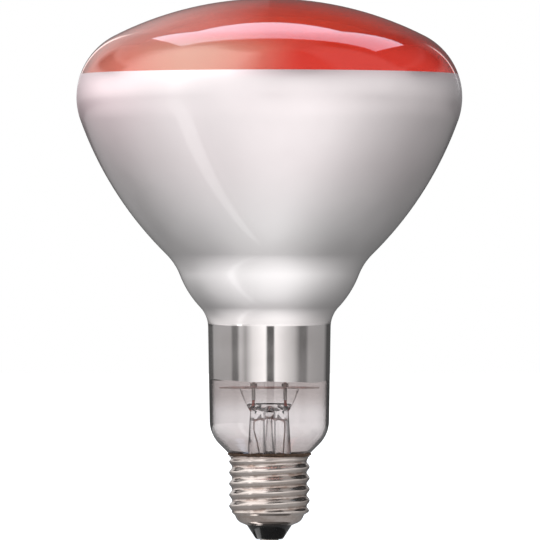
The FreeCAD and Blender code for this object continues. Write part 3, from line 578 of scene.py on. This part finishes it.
def metal(name, dark, bright, roughness, scale=900.0, stretch=None, bump=0.0):
    """Bare metal with a fine uneven tone and gloss."""
    material, surface = new_material(name)
    surface.inputs["Metallic"].default_value = 1.0
    tone = spread(material, grain(material, scale, stretch=stretch), 0.35, 0.65, 0.0, 1.0)
    join(material, blended(material, tone, dark, bright), surface.inputs["Base Color"])
    gloss = spread(material, grain(material, scale * 0.6, stretch=stretch), 0.3, 0.7,
                   roughness * 0.75, roughness * 1.3)
    join(material, gloss, surface.inputs["Roughness"])
    if bump:
        relief = add(material, "ShaderNodeBump", Strength=bump, Distance=0.0001)
        join(material, grain(material, scale, 4.0, stretch=stretch), relief.inputs["Height"])
        join(material, relief.outputs["Normal"], surface.inputs["Normal"])
    return material


copper = metal("dull copper", (0.14, 0.10, 0.09), (0.32, 0.22, 0.19), 0.34)
nickel_wire = metal("nickel wire", (0.42, 0.40, 0.38), (0.58, 0.56, 0.53), 0.36,
                    stretch=(1.0, 1.0, 0.1))

contact_lead = route("contact_lead", [[
    (-LEAD_SPREAD, 0, COPPER_TOP), (-LEAD_SPREAD, 0, COPPER_KINK), (-2.9, 0, 27.5),
    (-2.9, 0, 11.2), (0, 0, 8.6), (0, 0, 0.5)]])
grown(contact_lead, wire_tree, finish=copper, wire_radius=COPPER_RADIUS * mm,
      bend_radius=COPPER_BEND * mm)
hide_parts("lead_to_contact")
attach(contact_lead, "root")

shell_lead = route("shell_lead", [[
    (LEAD_SPREAD, 0, COPPER_TOP), (LEAD_SPREAD, 0, COPPER_KINK), (4.4, 0, 28.0),
    (4.4, 0, 13.4), (11.79, 0, 15.2355)]])
grown(shell_lead, wire_tree, finish=copper, wire_radius=COPPER_RADIUS * mm,
      bend_radius=COPPER_BEND * mm)
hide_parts("lead_to_shell")
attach(shell_lead, "root")

for side, label in ((1, "right"), (-1, "left")):
    support = route(f"nickel_lead_{label}", [[
        (LEAD_SPREAD * side, 0, NICKEL_FOOT), (LEAD_SPREAD * side, 0, 60.0),
        (8.03 * side, -11.468, 84.0), (8.03 * side, -11.468, 90.8)]])
    grown(support, wire_tree, finish=nickel_wire, wire_radius=NICKEL_RADIUS * mm,
          bend_radius=NICKEL_BEND * mm)
    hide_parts(f"inner_lead_{label}")
    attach(support, "root")


# Sealing wires: copper-clad iron whose red skin shows through the glass, with a dark weld knot
# at the foot of each where the copper lead joins it.

seal_skin, surface = new_material("red sealing wire")
surface.inputs["Metallic"].default_value = 0.5
surface.inputs["Roughness"].default_value = 0.35
knot = spread(seal_skin, height_of(seal_skin), 0.0431, 0.0436, 0.0, 1.0)
skin_tone = blended(seal_skin, grain(seal_skin, 1500.0), (0.50, 0.075, 0.04), (0.30, 0.04, 0.025))
join(seal_skin, blended(seal_skin, knot, (0.035, 0.028, 0.026), skin_tone),
     surface.inputs["Base Color"])
for side, label in ((1, "right"), (-1, "left")):
    seal = turned(f"sealing_wire_{label}", rounded_line([
        (0.0, 42.2), (0.45, 42.25, 0.2), (0.62, 42.75, 0.4), (0.4, 43.3, 0.3), (0.4, 46.2),
        (0.0, 46.2)]), across=LEAD_SPREAD * side, around=32)
    seal.data.materials.append(seal_skin)
    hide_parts(f"dumet_seal_{label}")
    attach(seal, "root")


# Heat shield: a disc split from mica, with holes for the wires and the cane. Small sleeves
# crimped on the wires hold it down on the pinch.

mica, surface = new_material("mica")
flakes = spread(mica, grain(mica, 220.0, 6.0, 0.65), 0.35, 0.65, 0.0, 1.0)
layers = spread(mica, grain(mica, 60.0, 2.0), 0.4, 0.6, 0.0, 1.0)
pale = blended(mica, layers, (0.78, 0.74, 0.70), (0.86, 0.83, 0.79))
join(mica, blended(mica, flakes, (0.62, 0.57, 0.52), pale), surface.inputs["Base Color"])
join(mica, spread(mica, grain(mica, 220.0, 6.0, 0.65), 0.3, 0.7, 0.25, 0.5),
     surface.inputs["Roughness"])
surface.inputs["Alpha"].default_value = 0.45


def dress(node, material):
    """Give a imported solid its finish."""
    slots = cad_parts[node].data.materials
    for index in range(len(slots)):
        slots[index] = material
    if not slots:
        slots.append(material)


dress("heat_shield", mica)
dress("shield_clip_right", nickel_wire)
dress("shield_clip_left", nickel_wire)


# Cane: a rod of soft glass fused on top of the pinch, drawn out to a button. The filament's
# support wires are set in it while it is soft.

dress("glass_cane", stem_glass)


# Filament: tungsten wire coiled tightly, bent to an open ring, held by clamps at the leads and
# by loops of thin molybdenum wire.

COIL_TURNS = 150
COIL_STEPS = 12
COIL_RADIUS = 0.68
RING_RADIUS = 14.0
RING_HEIGHT = 92.0
RING_ENDS = (-60.0, 240.0)
FILAMENT_WIRE_RADIUS = 0.12

coil_tree = new_tree("Coiled wire ring", {
    "Ring radius": 0.014, "Ring height": 0.092, "Coil radius": 0.0007, "Wire radius": 0.0001,
    "First angle": -60.0, "Last angle": 240.0, "Turns": 100.0, "Points": 1000.0})
given = coil_tree.nodes["Group Input"].outputs
run = step(coil_tree, "GeometryNodeMeshLine", Count=given["Points"])
index = step(coil_tree, "GeometryNodeInputIndex").outputs["Index"]
last = sum_of(coil_tree, "SUBTRACT", given["Points"], 1.0)
along = sum_of(coil_tree, "DIVIDE", index, last)
span = sum_of(coil_tree, "SUBTRACT", given["Last angle"], given["First angle"])
bearing = sum_of(coil_tree, "RADIANS", sum_of(
    coil_tree, "MULTIPLY_ADD", along, span, given["First angle"]))
spin = sum_of(coil_tree, "MULTIPLY", sum_of(
    coil_tree, "MULTIPLY", along, given["Turns"]), 2 * math.pi)
reach = sum_of(coil_tree, "MULTIPLY_ADD", sum_of(coil_tree, "COSINE", spin), given["Coil radius"],
               given["Ring radius"])
rise = sum_of(coil_tree, "MULTIPLY_ADD", sum_of(coil_tree, "SINE", spin), given["Coil radius"],
              given["Ring height"])
spot = step(coil_tree, "ShaderNodeCombineXYZ",
            X=sum_of(coil_tree, "MULTIPLY", reach, sum_of(coil_tree, "COSINE", bearing)),
            Y=sum_of(coil_tree, "MULTIPLY", reach, sum_of(coil_tree, "SINE", bearing)), Z=rise)
placed = step(coil_tree, "GeometryNodeSetPosition", Geometry=run.outputs["Mesh"],
              Position=spot.outputs["Vector"])
curve = step(coil_tree, "GeometryNodeMeshToCurve", Mesh=placed.outputs["Geometry"])
section = step(coil_tree, "GeometryNodeCurvePrimitiveCircle", Resolution=6,
               Radius=given["Wire radius"])
thread = step(coil_tree, "GeometryNodeCurveToMesh", Curve=curve.outputs["Curve"],
              Profile_Curve=section.outputs["Curve"], Fill_Caps=True)
close_tree(coil_tree, thread.outputs["Mesh"])

tungsten = metal("coiled tungsten", (0.16, 0.16, 0.17), (0.30, 0.30, 0.31), 0.42)
coil = route("coiled_filament", [[(0, 0, RING_HEIGHT), (0, 0, RING_HEIGHT + 0.1)]])
grown(coil, coil_tree, finish=tungsten, ring_radius=RING_RADIUS * mm,
      ring_height=RING_HEIGHT * mm, coil_radius=COIL_RADIUS * mm,
      wire_radius=FILAMENT_WIRE_RADIUS * mm, first_angle=RING_ENDS[0], last_angle=RING_ENDS[1],
      turns=float(COIL_TURNS), points=float(COIL_TURNS * COIL_STEPS + 1))
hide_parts("filament")
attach(coil, "root")

molybdenum = metal("molybdenum wire", (0.30, 0.30, 0.32), (0.45, 0.45, 0.47), 0.35)
for number in range(1, 5):
    dress(f"filament_support_{number}", molybdenum)
dress("filament_clamp_right", nickel_wire)
dress("filament_clamp_left", nickel_wire)


# Screw shell: thin sheet metal rolled to a round thread and plated, with a rim flared out over
# the glass and a floor drawn in to hold the insulator.

SHELL_WALL = 0.3
ROOT_RADIUS = 12.15
THREAD_FOOT = 9.5
THREAD_TOP = 26.2
RIM_FLARE = 1.6
RIM_TURN = 68.0
RIM_RINGS = 8


def evened(line, spacing):
    """Points along a line at an even spacing, its ends and corners kept."""
    points = [line[0]]
    for start, end in zip(line, line[1:]):
        count = max(1, round(math.dist(start, end) / spacing))
        points += [tuple(start[axis] + (end[axis] - start[axis]) * part / count
                         for axis in (0, 1)) for part in range(1, count + 1)]
    return points


def inset(line, depth):
    """The line moved sideways to its left as it goes up the outside of a piece."""
    moved = []
    for index, here in enumerate(line):
        before, after = line[max(index - 1, 0)], line[min(index + 1, len(line) - 1)]
        length = math.dist(before, after)
        moved.append((here[0] - (after[1] - before[1]) / length * depth,
                      here[1] + (after[0] - before[0]) / length * depth))
    return moved


shell_line = rounded_line([(7.5, 5.45), (10.3, 6.6, 3.3), (11.25, 8.75, 0.5),
                           (ROOT_RADIUS, THREAD_FOOT, 0.5), (ROOT_RADIUS, THREAD_TOP)], 9.0)
for part in range(1, RIM_RINGS + 1):
    turn = math.radians(RIM_TURN * part / RIM_RINGS)
    shell_line.append((ROOT_RADIUS + RIM_FLARE * (1 - math.cos(turn)),
                       THREAD_TOP + RIM_FLARE * math.sin(turn)))
shell_line = evened(shell_line, 0.22)

thread_tree = new_tree("Rolled thread", {
    "Pitch": 0.003629, "Depth": 0.00095, "Crest height": 0.01705, "Foot height": 0.0095,
    "Top height": 0.0262, "Runout": 0.0012, "Dents": 0.000008})
given = thread_tree.nodes["Group Input"].outputs
here = step(thread_tree, "GeometryNodeInputPosition").outputs["Position"]
split = step(thread_tree, "ShaderNodeSeparateXYZ", Vector=here).outputs
turn = sum_of(thread_tree, "DIVIDE", sum_of(
    thread_tree, "ARCTAN2", split["Y"], split["X"]), 2 * math.pi)
rows = sum_of(thread_tree, "DIVIDE", sum_of(
    thread_tree, "SUBTRACT", split["Z"], given["Crest height"]), given["Pitch"])
wave = sum_of(thread_tree, "COSINE", sum_of(thread_tree, "MULTIPLY", sum_of(
    thread_tree, "SUBTRACT", rows, turn), 2 * math.pi))
ridge = sum_of(thread_tree, "MULTIPLY", sum_of(
    thread_tree, "MULTIPLY_ADD", wave, 0.5, 0.5), given["Depth"])


def eased(low, high, start, end):
    node = step(thread_tree, "ShaderNodeMapRange", {"interpolation_type": "SMOOTHSTEP"},
                Value=split["Z"], From_Min=low, From_Max=high, To_Min=start, To_Max=end)
    return node.outputs["Result"]


foot_end = sum_of(thread_tree, "ADD", given["Foot height"], given["Runout"])
foot_start = sum_of(thread_tree, "SUBTRACT", given["Foot height"], given["Runout"])
top_end = sum_of(thread_tree, "ADD", given["Top height"], given["Runout"])
shown = sum_of(thread_tree, "MULTIPLY", eased(foot_start, foot_end, 0.0, 1.0),
               eased(given["Top height"], top_end, 1.0, 0.0))
rough = step(thread_tree, "ShaderNodeTexNoise", Vector=here, Scale=180.0).outputs["Fac"]
dent = sum_of(thread_tree, "MULTIPLY", sum_of(
    thread_tree, "SUBTRACT", rough, 0.5), given["Dents"])
push = sum_of(thread_tree, "MULTIPLY_ADD", ridge, shown, dent)
flat = step(thread_tree, "ShaderNodeCombineXYZ", X=split["X"], Y=split["Y"]).outputs["Vector"]
outwards = step(thread_tree, "ShaderNodeVectorMath", {"operation": "NORMALIZE"},
                i0=flat).outputs["Vector"]
shift = step(thread_tree, "ShaderNodeVectorMath", {"operation": "SCALE"}, i0=outwards, Scale=push)
rolled = step(thread_tree, "GeometryNodeSetPosition", Geometry=given["Geometry"],
              Offset=shift.outputs["Vector"])
close_tree(thread_tree, rolled.outputs["Geometry"])


def plated():
    """Warm bright plating, rubbed along the thread, with patchy brownish painted shade in the
    grooves.
    """
    material, surface = new_material("plated shell")
    surface.inputs["Metallic"].default_value = 1.0
    tree, place = material.node_tree, axes_of(material)
    radius = sum_of(tree, "SQRT", sum_of(tree, "MULTIPLY_ADD", place["X"], place["X"], sum_of(
        tree, "MULTIPLY", place["Y"], place["Y"])))
    # Painted shade: the grooves are darkened brown, less so on the band under the thread.
    groove = spread(material, radius, ROOT_RADIUS * mm, 0.0127, 1.0, 0.0)
    groove = sum_of(tree, "MULTIPLY", groove,
                    spread(material, place["Z"], THREAD_FOOT * mm, 0.0105, 0.55, 1.0))
    patchiness = spread(material, grain(material, 260.0, 5.0, 0.6, (1.0, 1.0, 2.5)), 0.35, 0.7,
                   0.15, 1.0)
    groove_shade = sum_of(tree, "MULTIPLY", groove, patchiness)
    tone = blended(material, spread(material, grain(material, 90.0), 0.35, 0.65, 0.0, 1.0),
                   (0.57, 0.50, 0.465), (0.66, 0.595, 0.56))
    join(material, blended(material, groove_shade, tone, (0.34, 0.25, 0.21)),
         surface.inputs["Base Color"])
    scuffs = spread(material, grain(material, 420.0, 3.0, 0.5, (1.0, 1.0, 3.0)), 0.3, 0.7,
                    0.14, 0.22)
    join(material, scuffs, surface.inputs["Roughness"])
    relief = add(material, "ShaderNodeBump", Strength=0.03, Distance=0.00003)
    join(material, grain(material, 700.0, 5.0, 0.6, (1.0, 1.0, 4.0)), relief.inputs["Height"])
    join(material, relief.outputs["Normal"], surface.inputs["Normal"])
    return material


screw_shell = turned("screw_shell", shell_line + inset(shell_line, SHELL_WALL)[::-1], around=240)
grown(screw_shell, thread_tree, finish=plated())
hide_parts("cap_shell")
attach(screw_shell, "root")


# Cement: baked brown putty that holds the cap on the glass. It was squeezed out under the rim in
# an uneven bead.

BEAD_FOOT = 27.9
BEAD_REACH = 12.6
LUMP = 0.12

putty, surface = new_material("baked putty")
crumbs = spread(putty, grain(putty, 1400.0, 6.0, 0.7), 0.35, 0.65, 0.0, 1.0)
join(putty, blended(putty, crumbs, (0.05, 0.026, 0.014), (0.17, 0.10, 0.06)),
     surface.inputs["Base Color"])
surface.inputs["Roughness"].default_value = 0.85
relief = add(putty, "ShaderNodeBump", Strength=0.6, Distance=0.0001)
join(putty, grain(putty, 1400.0, 6.0, 0.7), relief.inputs["Height"])
join(putty, relief.outputs["Normal"], surface.inputs["Normal"])

cement = turned("cement_bead", evened(rounded_line([
    (11.22, 21.0), (11.8, 21.0), (11.8, 27.5, 1.93), (13.1, 28.03), (13.6, 28.2, 0.25),
    (13.55, 28.95, 0.15), (11.22, 26.66, 2.97)]), 0.25), around=240)
for vertex in cement.data.vertices:
    reach = math.hypot(vertex.co.x, vertex.co.y)
    if vertex.co.z > BEAD_FOOT * mm and reach > BEAD_REACH * mm:
        angle = math.atan2(vertex.co.y, vertex.co.x)
        lump = (0.5 * math.sin(9 * angle + 1.0) + 0.35 * math.sin(23 * angle)
                + 0.25 * math.sin(41 * angle + 2.0)) * LUMP * mm
        vertex.co.x += vertex.co.x / reach * lump
        vertex.co.y += vertex.co.y / reach * lump
        vertex.co.z += min(lump * 0.3, 0.0)
cement.data.materials.append(putty)
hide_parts("capping_cement")
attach(cement, "root")


# Insulator: black glass cast hot into the shell's floor, where it keys over the edge of the
# sheet and holds the centre contact.

jet, surface = new_material("black cast glass")
swirl = spread(jet, grain(jet, 300.0, 4.0), 0.35, 0.65, 0.0, 1.0)
join(jet, blended(jet, swirl, (0.010, 0.010, 0.011), (0.022, 0.020, 0.020)),
     surface.inputs["Base Color"])
join(jet, spread(jet, grain(jet, 500.0, 4.0), 0.3, 0.7, 0.08, 0.20), surface.inputs["Roughness"])
relief = add(jet, "ShaderNodeBump", Strength=0.25, Distance=0.0001)
join(jet, grain(jet, 350.0, 2.0), relief.inputs["Height"])
join(jet, relief.outputs["Normal"], surface.inputs["Normal"])

cast = turned("cast_insulator", rounded_line([
    (1.22, 0.86), (4.35, 0.86, 1.0), (7.33, 5.45, 0.4), (7.33, 5.73), (8.88, 6.38),
    (8.88, 7.4, 0.3), (1.22, 7.4)]), around=160)
cast.data.materials.append(jet)
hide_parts("insulator")
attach(cast, "root")


# Centre contact: a pressed brass eyelet set in the glass. The lead comes up through it and is
# soldered, with the solder flattened to a grey button.

dress("contact_plate", metal("tinned brass", (0.40, 0.37, 0.33), (0.54, 0.51, 0.47), 0.38))

solder = metal("solder", (0.40, 0.40, 0.39), (0.60, 0.60, 0.58), 0.38, scale=700.0, bump=0.5)
button = turned("solder_button", rounded_line([
    (0.0, 0.0), (2.0, 0.0, 0.42), (2.0, 0.49), (0.78, 0.49), (0.78, 3.0), (0.22, 3.0),
    (0.22, 0.52), (0.0, 0.52)]), around=96)
button.data.materials.append(solder)
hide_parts("contact_solder")
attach(button, "root")


# Studio: a pale floor that keeps the shadow, white surroundings for the camera, one soft lamp
# above and behind, and a room of soft panels that only gloss and glass see. Its bearings are in
# degrees from the front of the lamp, negative to the left and positive to the right.

FULL_LEVEL = 2.0
FLOOR_REACH = 4.0
PLAIN_LIGHT = 0.7


def bearing_of(material, way):
    """The bearing of a place or direction, 0.5 in front of the lamp and 0 or 1 behind it."""
    turn = sum_of(material.node_tree, "ARCTAN2", way["X"], sum_of(
        material.node_tree, "MULTIPLY", way["Y"], -1.0))
    return sum_of(material.node_tree, "MULTIPLY_ADD", turn, 0.5 / math.pi, 0.5)


def ramp(material, value, stops):
    """A level that follows a bearing. Stops are (degrees, level up to the full level)."""
    node = add(material, "ShaderNodeValToRGB")
    marks = node.color_ramp.elements
    for number, (degrees, level) in enumerate(stops):
        mark = marks.new(degrees / 360 + 0.5) if number > 1 else marks[number]
        mark.position = degrees / 360 + 0.5
        share = level / FULL_LEVEL
        mark.color = (share, share, share, 1.0)
    join(material, value, node.inputs["Fac"])
    return node.outputs["Color"]


def floor_paint():
    """Grey paint for the shadow, with a glow for the camera that keeps it white. Gloss sees a
    painted shadow round the contact, with painted light from the left close in, and the room
    past it."""
    material = bpy.data.materials.new("pale floor")
    material.use_nodes = True
    material.node_tree.nodes.clear()
    tree = material.node_tree
    spot = step(tree, "ShaderNodeSeparateXYZ", Vector=place_of(material)).outputs
    bearing = bearing_of(material, spot)
    away = add(material, "ShaderNodeVectorMath", operation="LENGTH")
    join(material, place_of(material), away.inputs[0])
    away = away.outputs["Value"]
    rays = add(material, "ShaderNodeLightPath").outputs
    paint = add(material, "ShaderNodeBsdfDiffuse", Color=(0.45, 0.45, 0.45, 1.0))
    glow = step(tree, "ShaderNodeEmission", Strength=sum_of(
        tree, "MULTIPLY", rays["Is Camera Ray"], spread(material, away, 0.12, 0.45, 0.68, 1.0)))
    both = step(tree, "ShaderNodeAddShader", i0=paint.outputs[0], i1=glow.outputs[0])
    # Painted light and shadow seen only by gloss: a slot of light on the left within 10 mm, and
    # dimmer beyond it to about 50 mm.
    slot_of_light = ramp(material, bearing, [
        (-180, 0.08), (-84, 0.08), (-78, 1.95), (-48, 1.95), (-42, 0.25), (60, 0.08), (180, 0.08)])
    close = ramp(material, bearing, [
        (-180, 0.20), (-115, 0.32), (-60, 0.48), (60, 0.48), (115, 0.32), (180, 0.20)])
    dim = step(tree, "ShaderNodeEmission", Strength=FULL_LEVEL, Color=blended(
        material, spread(material, away, 0.0094, 0.0100, 0.0, 1.0), slot_of_light, close))
    under = step(tree, "ShaderNodeMixShader", Fac=spread(material, away, 0.034, 0.052, 0.0, 1.0),
                 i1=dim.outputs[0], i2=add(material, "ShaderNodeBsdfTransparent").outputs[0])
    seen = step(tree, "ShaderNodeMixShader", Fac=rays["Is Glossy Ray"], i1=both.outputs[0],
                i2=under.outputs[0])
    join(material, seen.outputs[0],
         add(material, "ShaderNodeOutputMaterial").inputs["Surface"])
    return material


floor_mesh = bpy.data.meshes.new("floor")
floor_mesh.from_pydata([(x * FLOOR_REACH, y * FLOOR_REACH, 0) for x, y in (
    (-1, -1), (1, -1), (1, 1), (-1, 1))], [], [(0, 1, 2, 3)])
floor_mesh.materials.append(floor_paint())
floor = bpy.data.objects.new("floor", floor_mesh)
bpy.context.scene.collection.objects.link(floor)
floor.visible_transmission = False

world = bpy.data.worlds.new("studio")
bpy.context.scene.world = world
world.use_nodes = True
world.node_tree.nodes.clear()
tree = world.node_tree
way = step(tree, "ShaderNodeSeparateXYZ",
           Vector=add(world, "ShaderNodeTexCoord").outputs["Generated"]).outputs
bearing = bearing_of(world, way)


def held(share, *edges):
    """A share held between edges of Z, each (from, to, share before, share after)."""
    for edge in edges:
        share = sum_of(tree, "MULTIPLY", share, spread(world, way["Z"], *edge))
    return share


# Above the horizon: a bright strip on the left, wide front panels and darker sides
high = ramp(world, bearing, [
    (-180, 0.10), (-165, 0.22), (-150, 0.55), (-125, 1.30), (-110, 1.48), (-80, 1.28),
    (-65, 0.82), (-63.5, 1.85), (-54, 1.85), (-52.5, 0.82), (-25, 1.18), (20, 1.22), (50, 1.08),
    (75, 0.88), (100, 0.70), (140, 0.30), (160, 0.14), (180, 0.10)])
# At the horizon, a belt that the neck mirrors: two panels with a narrow dark slit between them
level = ramp(world, bearing, [
    (-180, 0.08), (-138, 0.08), (-130, 0.34), (-78, 0.38), (-74, 0.15), (-63, 0.15), (-58, 0.55),
    (-51, 0.50), (-46, 0.36), (-32, 0.90), (-6, 1.28), (-4.8, 0.03), (8.4, 0.03), (9.6, 1.18),
    (29, 0.82), (48, 0.5), (60, 0.13), (73, 0.14), (80, 0.38), (125, 0.33), (140, 0.07),
    (180, 0.08)])
# Below the horizon, darker towards the floor
low = ramp(world, bearing, [
    (-180, 0.12), (-150, 0.20), (-135, 0.24), (-120, 0.35), (-102, 0.66), (-80, 0.80), (-65, 0.68),
    (-63.5, 1.8), (-54, 1.8), (-52.5, 0.62), (-25, 1.10), (20, 1.32), (45, 1.10), (66, 0.74),
    (95, 0.44), (125, 0.24), (150, 0.17), (180, 0.14)])
low = blended(world, spread(world, way["Z"], -0.97, -0.50, 0.24, 0.0), low, (0.0, 0.0, 0.0))
# Higher up: light on the left, for the face's shoulder, and dark on the right
upper = ramp(world, bearing, [
    (-180, 0.14), (-172, 0.55), (-150, 0.80), (-120, 0.30), (-100, 1.7), (-24, 1.8), (-6, 0.30),
    (42, 0.10), (52, 0.55), (92, 0.50), (100, 0.04), (145, 0.05), (180, 0.14)])
# A grey glow behind on the left, above the horizon
glow = ramp(world, bearing, [
    (-180, 0.24), (-168, 1.40), (-150, 1.4), (-132, 0.4), (-120, 0.0), (120, 0.0), (180, 0.10)])
high = blended(world, held(glow, (0.0, 0.36, 0.0, 1.0)), high, (0.52, 0.52, 0.52))
above = blended(world, spread(world, way["Z"], 0.44, 0.56, 0.0, 1.0), high, upper)
above = blended(world, spread(world, way["Z"], 0.93, 0.98, 0.0, 1.0), above, (0.20, 0.20, 0.20))
# Two dark flanks behind the lamp, which end the bright rows on the thread
flanks = ramp(world, bearing, [
    (-180, 0.0), (-150, 0.0), (-142, 2.0), (-112, 2.0), (-106, 0.0), (98, 0.0), (104, 2.0),
    (145, 2.0), (155, 0.0), (180, 0.0)])
flanks = held(flanks, (0.27, 0.36, 0.0, 1.0), (0.46, 0.54, 1.0, 0.0))
above = blended(world, flanks, above, (0.01, 0.01, 0.01))
room = blended(world, spread(world, way["Z"], -0.48, 0.12, 0.0, 1.0), low, above)
belt = held(spread(world, way["Z"], -0.125, -0.095, 0.0, 1.0), (-0.020, 0.010, 1.0, 0.0))
room = blended(world, belt, room, level)
# Two thin strips far behind, which draw bright lines down the edges
rims = ramp(world, bearing, [
    (-180, 0.0), (-169.8, 0.0), (-169.4, 2.0), (-167.4, 2.0), (-167.0, 0.0), (157.6, 0.0),
    (158, 2.0), (160, 2.0), (160.4, 0.0), (180, 0.0)])
rims = held(rims, (0.02, 0.07, 0.0, 1.0), (0.30, 0.42, 1.0, 0.0))
room = blended(world, rims, room, (1.0, 1.0, 1.0))
# White for the camera, also straight through glass, the room for gloss, plain light for the rest
rays = add(world, "ShaderNodeLightPath").outputs
unmirrored = sum_of(tree, "LESS_THAN", rays["Glossy Depth"], 0.5)
straight = sum_of(tree, "MULTIPLY", rays["Is Transmission Ray"], unmirrored)
looks = sum_of(tree, "MAXIMUM", rays["Is Camera Ray"], straight)
glossy = sum_of(tree, "MAXIMUM", rays["Is Glossy Ray"], rays["Is Transmission Ray"])
plain = add(world, "ShaderNodeBackground", Color=(1.0, 1.0, 1.0, 1.0), Strength=PLAIN_LIGHT)
mirrored_room = add(world, "ShaderNodeBackground", Strength=FULL_LEVEL)
join(world, room, mirrored_room.inputs["Color"])
white = add(world, "ShaderNodeBackground", Color=(1.0, 1.0, 1.0, 1.0), Strength=1.0)
first = step(tree, "ShaderNodeMixShader", Fac=glossy, i1=plain.outputs[0],
             i2=mirrored_room.outputs[0])
second = step(tree, "ShaderNodeMixShader", Fac=looks, i1=first.outputs[0], i2=white.outputs[0])
join(world, second.outputs[0], add(world, "ShaderNodeOutputWorld").inputs["Surface"])


def soft_box(name, place, aim, width, height, power, colour):
    """A rectangular lamp that faces a point."""
    data = bpy.data.lights.new(name, "AREA")
    data.shape = "RECTANGLE"
    data.size, data.size_y, data.energy, data.color = width, height, power, colour
    lamp = bpy.data.objects.new(name, data)
    bpy.context.scene.collection.objects.link(lamp)
    lamp.location = place
    way = [aim[axis] - place[axis] for axis in range(3)]
    lamp.rotation_euler = (math.atan2(math.hypot(way[0], way[1]), -way[2]), 0,
                           math.atan2(way[0], -way[1]) + math.pi)


soft_box("top_box", place=(0.14, 0.70, 1.36), aim=(0.14, 0.70, 0.0), width=1.62, height=0.90,
         power=17.0, colour=(0.62, 0.80, 1.0))

CAMERA_DISTANCE = 2.47
CAMERA_SIDE = 0.0002
CAMERA_HEIGHT = 0.0882
PICTURE_WIDTH = 0.1753
SENSOR_WIDTH = 36.0
camera_data = bpy.data.cameras.new("camera")
camera_data.sensor_width = SENSOR_WIDTH
camera_data.lens = SENSOR_WIDTH * CAMERA_DISTANCE / PICTURE_WIDTH
camera = bpy.data.objects.new("camera", camera_data)
bpy.context.scene.collection.objects.link(camera)
camera.location = (CAMERA_SIDE, -CAMERA_DISTANCE, CAMERA_HEIGHT)
camera.rotation_euler = (math.pi / 2, 0, 0)
bpy.context.scene.camera = camera
bpy.context.scene.view_settings.view_transform = "Standard"
